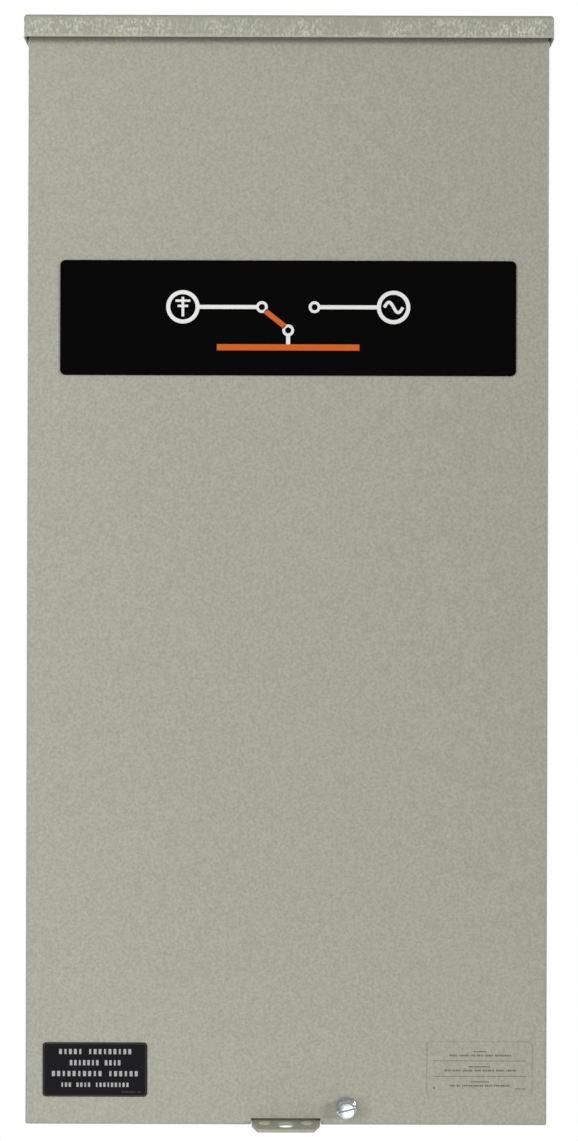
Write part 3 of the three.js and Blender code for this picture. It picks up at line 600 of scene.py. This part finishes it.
WIRE_COLOURS = {
    "black": (0.012, 0.012, 0.012),
    "red": (0.5, 0.015, 0.012),
    "blue": (0.015, 0.05, 0.35),
    "yellow": (0.7, 0.45, 0.03),
    "white": (0.72, 0.72, 0.7),
    "orange": (0.7, 0.16, 0.02),
}
WIRES = [insulation("wire_" + name, colour) for name, colour in WIRE_COLOURS.items()]


# ---------------- the outside
def painted_sheet():
    """The sheet-metal pieces in the enclosure's paint."""
    refined("drip_cap", CAP_PAINT, bevel=0.35)
    for node in ("front_cover", "enclosure_box", "back_plate"):
        refined(node, PAINT)
    refined("padlock_hasp", PAINT, bevel=0.35)
    for node in ("hasp_rivet_left", "hasp_rivet_right"):
        domed_rivet(node)
    hasp_shoulders()
    back_seam()


def back_seam():
    """The bead that closes the seam between the back plate and the sides of the box."""
    plate = Span("back_plate")
    b = Build()
    ys = (-plate.f0 - 0.9, -plate.f0 - 0.15)
    inner, outer = 0.3, 0.5
    for edge, way in ((plate.x0, -1), (plate.x1, 1)):
        xs = sorted((edge - way * inner, edge + way * outer))
        b.box(xs, ys, (plate.z0 - outer, plate.z1 + outer))
    for edge, way in ((plate.z0, -1), (plate.z1, 1)):
        b.box((plate.x0 - outer, plate.x1 + outer), ys, sorted((edge - way * inner, edge + way * outer)))
    b.piece("back_seam", [PAINT])


def hasp_shoulders():
    """Two low steps on the hasp's sides, which fill the ends of the cover's notch."""
    hasp, cover = Span("padlock_hasp"), Span("front_cover")
    b = Build()
    for side in (-1, 1):
        edge = side * hasp.x1
        xs = sorted((edge - side * 0.5, edge + side * 0.35))
        b.box(xs, (0.4 - cover.f1, 5 - cover.f0), (hasp.z0 + 0.1, hasp.z1 - 0.1))
    b.piece("hasp_shoulders", [PAINT])


def domed_rivet(node):
    """A painted rivet through the hasp: a round head above and a small one below."""
    s, sheet = Span(node), Span("padlock_hasp")
    radius, rise, brim = (s.x1 - s.x0) / 2, s.z1 - sheet.z1, 0.12
    angles = [i * math.pi / 16 for i in range(8)]
    dome = [(radius * math.cos(a), brim + (rise - brim) * math.sin(a) ** 0.8) for a in angles]
    tail = sheet.z0 - sheet.z1
    foot = [(0.6, s.z0 - sheet.z1), (2.5, s.z0 - sheet.z1 + 0.1), (2.9, tail - 0.1), (2.0, tail - 0.1)]
    b = Build().put(at(s.x, s.f, sheet.z1, "up"))
    b.turned([*foot, (2.0, 0.05), (radius - 0.1, 0.05), *dome, (0.3, rise)], sides=40)
    # The lighter paint on the heads is a painted highlight.
    b.piece(node + "_made", [HIGHLIT_RIVET_PAINT], slot=NODE_SLOT[node], replaces=[node], sharp=40)


def knockout(node, rings):
    """A punched blank with the grooves of the smaller sizes in it."""
    s = Span(node)
    radius, thick = (s.x1 - s.x0) / 2, s.z1 - s.z0
    b = Build().put(at(s.x, s.f, s.z0, "up"))
    groove = 0.35
    profile = [(1, 0)]
    for r in rings:
        profile += [(r - groove, 0), (r, groove), (r + groove, 0)]
    profile += [(radius - 0.2, 0), (radius, 0.2), (radius, thick - 0.2), (radius - 0.2, thick), (1, thick)]
    b.turned(profile, sides=64)
    b.piece(node + "_made", [PAINT], slot=NODE_SLOT[node], replaces=[node], sharp=25)


def nameplate():
    """Black film with a one-line diagram: two sources, a transfer lever and the load."""
    refined("nameplate", FILM, bevel=0.15)
    s = Span("nameplate")
    line, high, ring = 2.6, 0.08, 9.5
    source, contact, level, pivot = 68.0, 17.0, 7.0, -8.0
    b = Build().put(at(s.x, s.f1 - SUNK, s.z), 0)
    for side in (-1, 1):
        b.stroke([(side * (source - ring + 0.9), level), (side * (contact + 2.6), level)], line, high * 0.8)
        b.loop(2.9, 1.8, high, side * contact, level)
        b.loop(ring, line, high, side * source, level)
    wave = [(source - 6 + 12 * i / 16, level + 3.4 * math.sin(2 * math.pi * i / 16)) for i in range(17)]
    b.stroke(wave, 2.0, high)
    b.stroke([(-source, level - 6.2), (-source, level + 6.4)], 1.7, high)
    for rise, reach in ((4.0, 4.8), (0.6, 3.4)):
        b.stroke([(-source - reach, level + rise), (-source + reach, level + rise)], 1.5, high * 0.9)
    b.loop(2.9, 1.8, high, 0, pivot)
    b.stroke([(0, pivot - 2.4), (0, pivot - 9.4)], line, high * 0.8)
    b.piece("nameplate_lines", [WHITE_INK], "cover")
    c = Build().put(at(s.x, s.f1 - SUNK, s.z), 0)
    c.stroke([(-2, pivot + 2.4), (-contact + 2, level - 2.4)], 3.4, high)
    c.stroke([(-46, pivot - 11), (46, pivot - 11)], 4.0, high)
    c.piece("nameplate_accent", [ORANGE_INK], "cover")


def blocks(build, left, right, y, height, words, fill=0.72):
    """A row of small blocks that stands for a line of print."""
    total = sum(words) + len(words) - 1
    unit = (right - left) / total
    x = left
    for letters in words:
        for i in range(letters):
            half = unit * fill / 2 * (0.7 if (i + letters) % 3 == 0 else 1)
            mid = x + unit * (i + 0.5)
            build.box((mid - half, mid + half), (y - height / 2, y + height / 2), (0, 0.05))
        x += unit * (letters + 1)


def small_labels():
    refined("function_label", LABEL_FILM, bevel=0.1)
    refined("rating_label", CLEAR, bevel=0.1)
    s = Span("function_label")
    b = Build().put(at(s.x, s.f1 - SUNK, s.z), 0)
    rows = [
        (-23.8, 24.1, 11.6, 3.3, (5, 9)),
        (-16.8, 17.1, 4.4, 3.4, (7, 4)),
        (-28.4, 28.4, -2.6, 3.3, (10, 6)),
        (-22.3, 22.3, -9.8, 2.8, (3, 4, 9)),
    ]
    for left, right, y, height, words in rows:
        blocks(b, left, right, y, height, words, 0.58)
    b.put(at(s.x, s.f1 - 0.03, s.z), 1)
    blocks(b, 17, 30, -14.4, 1.0, (8, 2))
    inner, outer = rounded(65.3, 32.8, 1.6, 6), rounded(66.3, 33.8, 2.0, 6)
    b.stack([(inner, 0), (outer, 0), (outer, 0.07), (inner, 0.07)], closed=True)
    b.piece("function_label_print", [GREY_INK, RIM_INK], "cover")
    r = Span("rating_label")
    c = Build().put(at(r.x, r.f1 - SUNK, r.z), 0)
    rows = [
        (-4.2, 4.2, 11.2, 0.9, (7,)),
        (-19.7, 20.5, 8.7, 1.2, (5, 6, 3, 4, 5, 10)),
        (-7, 7, 1.4, 0.9, (10,)),
        (-22.9, 23.6, -1.0, 1.2, (4, 5, 6, 4, 7, 5, 6)),
        (-6, 6, -8.3, 0.9, (9,)),
        (-19.5, 19.5, -10.8, 1.2, (3, 2, 12, 4, 9)),
        (-30.3, -28.6, -12.4, 1.0, (1,)),
        (22.8, 29.8, -12.8, 0.7, (6,)),
    ]
    for left, right, y, height, words in rows:
        blocks(c, left, right, y, height, words)
    for y in (5.2, -4.8):
        c.box((-30, 30), (y - 0.15, y + 0.15), (0, 0.04))
    c.piece("rating_label_print", [DARK_INK], "cover")


# A hexagon head's crown: how far out each level reaches, in half flats, and its share of the height.
HEAD_LEVELS = ((1.2, 0.66), (1.07, 0.8), (0.97, 0.91), (0.87, 0.98), (0.6, 0.993), (0.3, 1.0))


def hex_half(flats, side, gap, height):
    """Half of a crowned hexagon head, on one side of its screwdriver slot."""
    levels = []
    for limit, share in HEAD_LEVELS:
        edge = [polar(min(hex_radius(flats, a), flats / 2 * limit), a) for a in range(0, 181, 5)]
        levels.append(([(x * side, max(y, gap) * side) for x, y in edge], height * share))
    return levels


def cover_screw():
    """A slotted hexagon screw with a washer face, a crowned head and a cut thread."""
    s, cover = Span("cover_screw"), Span("front_cover")
    seat = cover.f1 + 0.3
    reach, step = s.f1 - seat, 1.4
    face = at(s.x, seat, s.z, turn=14)
    b = Build().put(face)
    rim = (s.x1 - s.x0) / 2
    b.turned([(rim - 0.4, 0), (rim, 0.3), (rim, 0.7), (rim - 0.5, 1.1), (5.4, 1.4), (5.0, 1.5)], sides=48)
    flats, head = 11.0, reach - step
    b.put(face @ shift(0, 0, step)).hexagon(flats, head * HEAD_LEVELS[0][1], chamfer=0)
    for side in (-1, 1):
        b.stack(hex_half(flats, side, 0.55, head))
    b.put(at(s.x, s.f0, s.z))
    b.turned([(2.0, 0), (2.9, 1.0), (2.9, 1.2)])
    b.thread(3.1, 1.1, seat - s.f0 - 4.5)
    b.turned([(3.0, seat - s.f0 - 4.6), (3.0, seat - s.f0 + 0.2)])
    b.piece("cover_screw_made", [BRIGHT_ZINC], "cover_screw", "zinc", ["cover_screw"], sharp=24)
    refined("cover_screw_nut", ZINC)


# ---------------- fasteners inside
def screws(name, spots, radius, height, material=ZINC, cross=True):
    """Pan-head screws on plain washers, each turned its own way."""
    washer = 0.6
    b = Build()
    for i, spot in enumerate(spots):
        place = at(*spot, turn=(37 * i + 11) % 90)
        b.put(place).turned([(radius * 1.35, 0), (radius * 1.4, 0.25), (radius * 1.35, washer)])
        b.put(place @ shift(0, 0, washer)).slotted(radius, height, cross)
    b.piece(name, [material], sharp=30)


def bolts(name, spots, flats, height):
    """Hexagon bolts on plain washers."""
    washer = 1
    b = Build()
    for i, spot in enumerate(spots):
        place = at(*spot, turn=(23 * i) % 60)
        b.put(place).turned([(flats * 0.8, 0), (flats * 0.82, 0.4), (flats * 0.8, washer)])
        b.put(place @ shift(0, 0, washer)).hexagon(flats, height)
    b.piece(name, [ZINC], sharp=30)


def set_screws(name, spots, radius=4.0, flats=4.8, low=-4.0, high=0.6, floor=-2.4):
    b = Build()
    for i, spot in enumerate(spots):
        b.put(at(*spot, turn=17 * i)).socket(radius, low, high, flats, floor)
    b.piece(name, [ZINC], sharp=30)


# ---------------- behind the cover
def panel_and_dead_front():
    refined("mounting_panel", GALVANISED)
    refined("dead_front", PAINT)
    panel, front = Span("mounting_panel"), Span("dead_front")
    bolts("panel_nuts", both_sides(140, panel.f1, (318, -216)), flats=11, height=5)
    screws("dead_front_screws", both_sides(148, front.f1, (120, 310)), 3.8, 2.4)
    b = Build().put(at(-95, front.f1, 215), 0)
    b.pillow(rounded(62, 96, 3), -0.05, 0.25, 0.1)
    b.material = 1
    for i in range(9):
        b.put(at(-95, front.f1 + 0.24, 250 - i * 9))
        blocks(b, -25, 25 - (i * 7) % 16, 0, 1.7, (4, 7, 3, 6) if i % 2 else (6, 3, 8))
    b.piece("circuit_card", [CARD, DARK_INK])


def service_disconnect():
    for node in ("breaker_base", "breaker_cover"):
        refined(node, BLACK, bevel=0.8)
    refined("breaker_handle", BLACK, bevel=1.1)
    cover = Span("breaker_cover")
    well_floor = 83
    wells = both_sides(42, well_floor, (cover.z - 40, cover.z + 40))
    screws("breaker_cover_screws", wells, 3.0, 2.0, BRASS)
    b = Build().put(at(0, cover.f1 - SUNK, cover.z + 24), 0)
    b.box((-0.45, 0.45), (-1.9, 1.9), (0, 0.08))
    b.put(at(0, cover.f1 - SUNK, cover.z - 24)).loop(1.7, 0.8, 0.08)
    for side in (-1, 1):
        b.put(at(side * 22, cover.f1 - SUNK, cover.z))
        blocks(b, -4.5, 4.5, 9 * side, 2.2, (4,))
    b.piece("breaker_marks", [WHITE_INK])
    for side in ("left", "right"):
        refined(f"line_lug_{side}", TINNED, bevel=0.5)
        refined(f"feed_strap_{side}", COPPER, bevel=0.5)
    strap = Span("feed_strap_left")
    bolts("strap_bolts", both_sides(-strap.x, strap.f1, (77.5, 100)), flats=10, height=4.5)
    grip = Build()
    pivot_f, pivot_z = joint_axis("breaker_throw")
    handle_lean, handle_top = -18, 46.2
    up = shift(0, -pivot_f, pivot_z) @ rotation("X", handle_lean)
    for i in range(5):
        for side in (-1, 1):
            place = up @ shift(0, -handle_top - 0.9 * i, side * 6.4)
            grip.put(place).box((-10, 10), (-0.22, 0.22), (-0.35, 0.35))
    grip.piece("breaker_handle_ribs", [BLACK], "breaker_toggle", bevel=0.1)


def transfer_base():
    refined("switch_base", BLACK, bevel=0.8)
    base = Span("switch_base")
    ear_front, foot_front = 22.3, 30.3
    screws("base_screws", both_sides(102, ear_front, (base.z - 98, base.z + 98)), 3.8, 2.4)
    for side in ("left", "right"):
        refined(f"bearing_bracket_{side}", GALVANISED, bevel=0.35)
        refined(f"pole_housing_{side}", GREY, bevel=0.7)
        refined(f"utility_contact_{side}", COPPER, bevel=0.5)
        refined(f"standby_terminal_{side}", TINNED, bevel=0.5)
        refined(f"load_terminal_{side}", TINNED, bevel=0.5)
    axis_f, axis_z = joint_axis("transfer_throw")
    plates = Build()
    for side in (-1, 1):
        for i in range(-9, 10):
            plates.put(shift(side * 27, -(axis_f + 60), axis_z + i * 5.2))
            plates.box((-18, 18), (-2.4, 2.4), (-0.6, 0.6))
    plates.piece("arc_plates", [STEEL], bevel=0.15)
    screws("bracket_screws", both_sides(64, foot_front, (axis_z - 37, axis_z + 37)), 3.2, 2.2)
    housing = Span("pole_housing_left")
    screws("housing_screws", both_sides(27, housing.f1, (housing.z - 53, housing.z + 53)), 2.4, 1.8)
    tags = Build()
    for x in (-27, 27):
        tags.put(at(x, housing.f1, axis_z), 0).pillow(rounded(27, 18, 1), -0.05, 0.15, 0.05)
        tags.put(at(x, housing.f1 + 0.14, axis_z), 1)
        for row, words in ((5, (6, 4)), (1.6, (3, 5, 2)), (-1.8, (4, 4, 3)), (-5.2, (7, 3))):
            blocks(tags, -10.5, 10.5, row, 1.5, words)
    tags.piece("pole_tags", [CARD, DARK_INK])
    bush = Build()
    for side, facing in ((-1, "left"), (1, "right")):
        bush.put(at(side * 57.1, axis_f, axis_z, facing))
        bush.turned([(7.15, 0), (11, 0), (11.2, 0.3), (11, 1.3), (7.15, 1.3)], sides=36, closed=True)
    bush.piece("bearing_bushes", [BRASS], sharp=30)
    lugs = []
    for node in ("line_lug_left", "line_lug_right"):
        s = Span(node)
        lugs.append((s.x, s.f1, s.z1 - 14))
    for kind in ("standby_terminal", "load_terminal"):
        for side in ("left", "right"):
            s = Span(f"{kind}_{side}")
            lugs.append((s.x, lug_front(kind, s), s.z0 + 14))
    set_screws("lug_set_screws", lugs)


def lug_front(kind, span):
    """The lug's own front: a standby terminal's fixed contact stands further forward than its lug."""
    return span.f0 + 32.5 if kind == "standby_terminal" else span.f1


def rotor():
    """What turns with the transfer shaft."""
    refined("transfer_shaft", BROWN, bevel=0.4)
    refined("drive_crank", ZINC, bevel=0.4)
    refined("manual_handle_lever", ZINC, bevel=0.5)
    refined("manual_handle_grip", RED_GRIP, bevel=2.2)
    axis_f, axis_z = joint_axis("transfer_throw")
    arm_lean = -20
    arm = shift(0, -axis_f, axis_z) @ rotation("X", arm_lean)
    pads, pins = Build(), Build()
    for side in ("left", "right"):
        refined(f"moving_contact_{side}", COPPER, bevel=0.5)
        x = Span(f"moving_contact_{side}").x
        for sign in (-1, 1):
            pads.put(arm @ shift(x, -46, sign * 5.35)).prism(rounded(12, 10, 1.5), -0.25, 0.25)
        pins.put(arm @ shift(x, -8.5, 2.6)).hexagon(5.5, 2.6)
    for x in (-83, 67):
        pins.put(arm @ shift(x, 0, 12.2)).socket(2.4, 0, 1.2, 2.5, 0.3)
    pads.piece("contact_pads", [SILVER], "transfer_rotor", bevel=0.12)
    pins.piece("rotor_screws", [BLACK_OXIDE], "transfer_rotor", sharp=30)


def solenoids():
    refined("drive_yoke", ZINC, bevel=0.5)
    leads = Build()
    rivets = []
    for side, sign in (("utility", 1), ("standby", -1)):
        refined(f"plunger_{side}", STEEL, bevel=0.5)
        refined(f"solenoid_frame_{side}", GALVANISED, bevel=0.4)
        refined(f"solenoid_coil_{side}", BLACK, bevel=0.4)
        coil, yoke = Span(f"solenoid_coil_{side}"), Span(f"solenoid_frame_{side}")
        wrap = Build().put(at(coil.x, coil.f, coil.z, "up"))
        radius, half = (coil.x1 - coil.x0) / 2 - 2.3, (coil.z1 - coil.z0) / 2 - 3.1
        laps = [(radius + (0.35 if i % 2 else 0), -half + i * half / 6) for i in range(1, 12)]
        wrap.turned([(radius - 1, -half), *laps, (radius - 1, half)], sides=40)
        wrap.piece(f"coil_winding_{side}", [TAPE], sharp=40)
        tag = Build().put(at(coil.x, coil.f1 - 1.6, coil.z), 0)
        tag.prism(rounded(20, 18, 1), -0.9, -0.15)
        tag.put(at(coil.x, coil.f1 - 1.76, coil.z), 1)
        for row in (4.5, 0, -4.5):
            blocks(tag, -7.5, 7.5, row, 1.4, (4, 3, 4))
        tag.piece(f"coil_tag_{side}", [CARD, DARK_INK])
        far = yoke.z1 if sign > 0 else yoke.z0
        facing = "up" if sign > 0 else "down"
        rivets += [(coil.x + dx, coil.f + 12, far, facing) for dx in (-13, 13)]
        for i, dz in enumerate((-5, 5)):
            start = (coil.x1 - 1.5, coil.f - 8, coil.z + dz)
            bend = (coil.x1 + 3, coil.f - 18, coil.z + dz * 0.7)
            leads.material = i
            leads.tube(smooth_path([start, bend, (109, 44, coil.z - sign * 12 + dz)]), 1.1)
    leads.piece("coil_leads", [WIRES[1], WIRES[0]], sharp=50)
    screws("solenoid_screws", rivets, 2.6, 1.6)


def limit_switches():
    blades = Build()
    spots = []
    for side in ("utility", "standby"):
        refined(f"limit_switch_{side}", BLACK, bevel=0.35)
        s = Span(f"limit_switch_{side}")
        sign = 1 if side == "utility" else -1
        middle = s.z + sign * 3
        spots += [(s.x0, f, middle + sign * 5, "left") for f in (s.f0 + 4, s.f1 - 4)]
        for f in (s.f0 + 8, s.f, s.f1 - 8):
            blades.put(shift(s.x0 - 3, -f, middle - sign * 3)).box((-3.2, 3.2), (-0.4, 0.4), (-2.2, 2.2))
    blades.piece("switch_blades", [TINNED], bevel=0.15)
    screws("switch_screws", spots, 1.7, 1.2)


def neutral_and_ground():
    for node in ("neutral_bar", "ground_bar"):
        refined(node, TINNED, bevel=0.4)
    for node in ("neutral_insulator_left", "neutral_insulator_right"):
        refined(node, RED_INSULATOR, bevel=0.8)
    bar, ground = Span("neutral_bar"), Span("ground_bar")
    wide = [(x, bar.f1, bar.z) for x in (-92, -52, 40)]
    narrow = [(x, bar.f1, bar.z) for x in (-28, -16, -4, 8, 20)]
    set_screws("neutral_lug_screws", wide, 5.2, 6.0, -0.1, 3.2, 0.8)
    screws("neutral_screws", narrow, 3.2, 3.0, BRASS, cross=False)
    small = [(ground.x0 + 6 + i * 10, ground.f1, ground.z) for i in range(5)]
    screws("ground_screws", small, 2.8, 2.4, ZINC, cross=False)


# ---------------- the control board
def control_board():
    for node, material in (("board_tray", BLACK), ("control_board", BOARD), ("terminal_strip", BLACK)):
        refined(node, material)
    refined("load_relay", BLUE, bevel=1.0)
    board = Span("control_board")
    top = board.f1

    def part(build, x, z, width, height, rise, corner=0.5, material=0):
        build.put(at(x, top - SUNK, z), material).pillow(rounded(width, height, corner, 3), 0, rise, 0.4)

    processor = (-70, -262)
    black_parts = [
        (*processor, 16, 16, 1.8),
        (-96, -270, 10, 8, 1.6),
        (-96, -284, 10, 8, 1.6),
        (-46, -284, 8, 10, 1.6),
        (-30, -256, 12, 22, 15, 0.8),
        (-14, -256, 12, 22, 15, 0.8),
        (14, -256, 30, 28, 20, 1.5),
    ]
    chips = Build()
    for chip in black_parts:
        part(chips, *chip)
    chips.piece("board_parts", [BLACK])

    legs = Build()
    x, z = processor
    short, long = (-0.35, 0.35), (-0.9, 0.9)
    for i in range(8):
        along = i * 1.75 - 6.1
        for out in (-8.8, 8.8):
            legs.put(at(x + out, top - SUNK, z + along)).box(long, short, (0, 0.5))
            legs.put(at(x + along, top - SUNK, z + out)).box(short, long, (0, 0.5))
    for x, z in ((-134, -318), (30, -318), (-134, -242), (30, -242)):
        legs.put(at(x, top, z, turn=20)).slotted(3.0, 1.9, cross=True)
    legs.piece("board_metal", [ZINC], sharp=30)

    cans = Build()
    capacitors = [(-120, -252, 6, 16), (-105, -252, 6, 16), (-119, -270, 4, 10), (-56, -244, 3.2, 9)]
    for x, z, r, rise in capacitors:
        sleeve = [(r * 0.94, 0), (r, 0.6), (r * 0.95, 1.6), (r, 2.4), (r, rise - 0.8)]
        cans.put(at(x, top, z), 0).turned(sleeve)
        cans.put(at(x, top + rise - 0.9, z), 1).turned([(r - 0.1, 0), (r - 0.2, 0.6), (r - 1, 0.9)])
    cans.piece("board_capacitors", [WIRES[2], SILVER], sharp=40)

    small = Build()
    for i in range(7):
        small.put(at(-86 + i * 5, top + 1.2, -295.5, "up"), i % 2)
        small.turned([(0.7, 0), (1.05, 0.6), (0.85, 2), (0.85, 5), (1.05, 6.4), (0.7, 7)], sides=12)
    small.piece("board_resistors", [CREAM, FIBRE], sharp=50)

    plugs = Build()
    for x, z, width, height in ((-134, -262, 7, 24), (-80, -239, 34, 6), (-40, -239, 20, 6)):
        part(plugs, x, z, width, height, 9, 0.4)
        ways = int(max(width, height) // 4)
        for i in range(ways):
            offset = (i - (ways - 1) / 2) * 4
            dx, dz = (offset, 0) if width > height else (0, offset)
            plugs.put(at(x + dx, top + 9, z + dz)).pillow(rounded(2.6, 2.6, 0.3, 2), -0.1, 0.9, 0.2)
    plugs.piece("board_plugs", [CREAM])

    lamps = Build()
    for i, x in enumerate((-128, -120, -112)):
        lamps.put(at(x, top, -296), i)
        lamps.turned([(1.6, 0), (1.6, 0.5), (1.4, 0.6), (1.4, 3), (1.0, 3.9), (0.4, 4.3)], sides=16)
    lamps.piece("board_lamps", [RED_GRIP, BOARD, WIRES[3]], sharp=50)

    strip = Span("terminal_strip")
    ways, end_wall, clamp_front = 9, 0.8, 38
    pitch = (strip.x1 - strip.x0 - 2 * end_wall) / ways
    middles = [strip.x0 + end_wall + pitch * (i + 0.5) for i in range(ways)]
    spots = [(x, clamp_front, z) for x in middles for z in (strip.z - 4.6, strip.z + 4.6)]
    screws("terminal_screws", spots, 2.2, 1.6, ZINC, cross=False)

    relay = Span("load_relay")
    tag = Build().put(at(relay.x, relay.f1, relay.z))
    tag.pillow(rounded(28, 17, 1), -0.05, 0.15, 0.05)
    tag.put(at(relay.x, relay.f1 + 0.14, relay.z), 1)
    for row in (4.6, 0, -4.6):
        blocks(tag, -11, 11, row, 1.4, (5, 4, 6))
    tag.piece("relay_tag", [CARD, DARK_INK])


FUSES_X = (72, 96, 120)


def fuses():
    refined("fuse_block", BLACK, bevel=0.4)
    block = Span("fuse_block")
    fuse_f = 31
    clip = arc(0, 0, 7.0, -60, 240, 20) + arc(0, 0, 7.7, -60, 240, 20)[::-1]
    bodies, clips, ends = Build(), Build(), []
    for x in FUSES_X:
        bodies.put(at(x, fuse_f, block.z, "up"), 0).turned([(6.2, -15), (6.2, 15)], sides=32)
        bodies.material = 1
        for side in (-1, 1):
            low, high = sorted((side * 13, side * 22))
            cap = [(5.8, low), (6.6, low + 0.4), (6.6, high - 0.4), (5.8, high)]
            bodies.turned(cap, sides=32)
            clips.put(at(x, fuse_f, block.z + side * 17.5, "up")).prism(clip, -3.2, 3.2)
            clips.put(at(x, 21, block.z + side * 21)).box((-4, 4), (-8, 8), (0, 1.2))
            ends.append((x, 22.2, block.z + side * 26))
    bodies.piece("control_fuses", [FIBRE, BRASS], sharp=40)
    clips.piece("fuse_clips", [COPPER], sharp=40)
    screws("fuse_screws", ends, 2.6, 1.8, BRASS, cross=False)


# ---------------- wiring
CONTROL_ROUTE = [
    (-124, 36, -240),
    (-122, 36, -206),
    (-112, 34, -160),
    (-104, 33, -120),
    (-104, 33, -50),
    (-96, 36, -12),
    (-71, 47, 8),
]
COIL_ROUTE = [
    (96, 42, -257),
    (104, 38, -240),
    (108, 36, -190),
    (108, 33, -110),
    (108, 33, -40),
    (109, 42, 0),
    (107, 58, 36),
]


def bundle(node, route, radius, wire, ties):
    """Six wires laid round a middle one, tied at intervals."""
    places = frames_along(smooth_path(route, 10))
    b = Build()
    for i in range(7):
        offset = radius - wire if i else 0
        b.material = i % len(WIRES)
        lay = [Vector((*polar(offset, 60 * i + k * 3), 0)) for k in range(len(places))]
        b.tube([place @ point for place, point in zip(places, lay)], wire)
    b.piece(node + "_made", WIRES, slot="wire_sleeve", replaces=[node], sharp=60)
    bands = Build()
    for k in ties:
        place = places[round(k * (len(places) - 1))]
        low, high = radius - 0.1, radius + 0.8
        bands.put(place).turned([(low, -1.6), (high, -1.6), (high, 1.6), (low, 1.6)], sides=20, closed=True)
        bands.put(place @ shift(radius + 1.2, 0, 0)).box((-1.3, 1.3), (-1.8, 1.8), (-2, 2))
    bands.piece(node + "_ties", [BLACK], bevel=0.15)


def wiring():
    bundle("control_harness", CONTROL_ROUTE, 4.0, 1.33, (0.1, 0.3, 0.5, 0.68, 0.86))
    bundle("coil_harness", COIL_ROUTE, 3.0, 1.0, (0.12, 0.36, 0.6, 0.82))
    tails = Build()
    standby, utility = Span("limit_switch_standby"), Span("limit_switch_utility")
    for i, s in enumerate((utility, utility, standby, standby)):
        end = (s.x0 - 5.2, s.f0 + 8 + 7 * (i % 2), s.z)
        tails.material = i
        tails.tube(smooth_path([(-80, 44, 2), (-76.5, 46 + i, (2 + s.z) / 2), end]), 1.1)
    board = Span("control_board")
    for i in range(5):
        x = -92 + i * 6
        tails.material = i
        path = [(-124, 37, -238), (-118 + i * 2, 50, -228), (x, 50, -232), (x, board.f1 + 9.5, -239)]
        tails.tube(smooth_path(path), 1.1)
    for i, x in enumerate(FUSES_X):
        tails.material = i
        tails.tube(smooth_path([(97, 42, -256), (x, 40, -256), (x, 27, -263)]), 1.0)
    tails.piece("wire_tails", WIRES, sharp=60)


# ---------------- camera, lights and floor
def camera():
    """The photograph's view: square on, with a slight roll."""
    distance, roll = 1.3, 0.17
    data = bpy.data.cameras.new("camera")
    data.sensor_width = 36
    data.lens = 63.5
    data.clip_start, data.clip_end = 0.05, 50
    view = add_object("camera", data)
    view.location = (0.001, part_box("front_cover")[0].y - distance, 0.0003)
    view.rotation_euler = (rotation("X", 90) @ rotation("Z", roll)).to_euler()
    bpy.context.scene.camera = view


def lamp(name, kind, strength, direction):
    data = bpy.data.lights.new(name, kind)
    data.energy = strength
    light = add_object(name, data)
    light.rotation_euler = Vector(direction).to_track_quat("-Z", "Y").to_euler()
    return light


def area(name, place, aim, size, power):
    light = lamp(name, "AREA", power, Vector(aim) - Vector(place))
    light.data.shape = "RECTANGLE"
    light.data.size, light.data.size_y = size
    light.location = place
    return light


def sun(name, direction, strength, angle):
    light = lamp(name, "SUN", strength, direction)
    light.data.angle = math.radians(angle)
    return light


def lights():
    """A key from the right, so the screw's shadow falls left, a wide soft fill, and light for the back."""
    sun("key", (-1.45, 1.0, -0.32), 1.25, 11)
    sun("fill", (0.5, 1.0, -0.26), 0.6, 40).visible_glossy = False
    area("left", (-1.0, -1.0, 0.15), (-0.1, -0.17, 0), (0.5, 1.6), 9).visible_glossy = False
    area("low_front", (0.15, -1.4, -0.7), (0.04, -0.17, -0.35), (0.32, 0.3), 0.34)
    area("back_left", (-2.0, 2.0, 1.2), (0, 0, 0), (1.6, 1.6), 45)
    area("back_right", (2.2, 1.6, 0.8), (0, 0, 0), (1.6, 1.6), 30)


def surroundings():
    """A white world that lights softly, and a pale floor below."""
    world = bpy.data.worlds.new("studio")
    bpy.context.scene.world = world
    world.use_nodes = True
    nodes, links = world.node_tree.nodes, world.node_tree.links
    background = nodes["Background"]
    background.inputs["Color"].default_value = (1, 1, 1, 1)
    path = nodes.new("ShaderNodeLightPath")
    strength = nodes.new("ShaderNodeMapRange")
    strength.inputs["To Min"].default_value = 0.24
    strength.inputs["To Max"].default_value = 1.0
    links.new(path.outputs["Is Camera Ray"], strength.inputs["Value"])
    links.new(strength.outputs["Result"], background.inputs["Strength"])
    floor_top, thick = cad_bounds[0].z / MM - 150, 10
    mesh = Build().box((-450, 450), (-550, 150), (floor_top - thick, floor_top)).mesh("floor")
    mesh.materials.append(card("pale_floor", (0.82, 0.82, 0.81)))
    add_object("floor", mesh)


def main():
    scene = bpy.context.scene
    scene.view_settings.view_transform = "Standard"
    camera()
    lights()
    surroundings()
    painted_sheet()
    for node in ("knockout_left", "knockout_right"):
        knockout(node, (19, 25.5, 31.5))
    nameplate()
    small_labels()
    cover_screw()
    panel_and_dead_front()
    service_disconnect()
    transfer_base()
    rotor()
    solenoids()
    limit_switches()
    neutral_and_ground()
    control_board()
    fuses()
    wiring()


main()
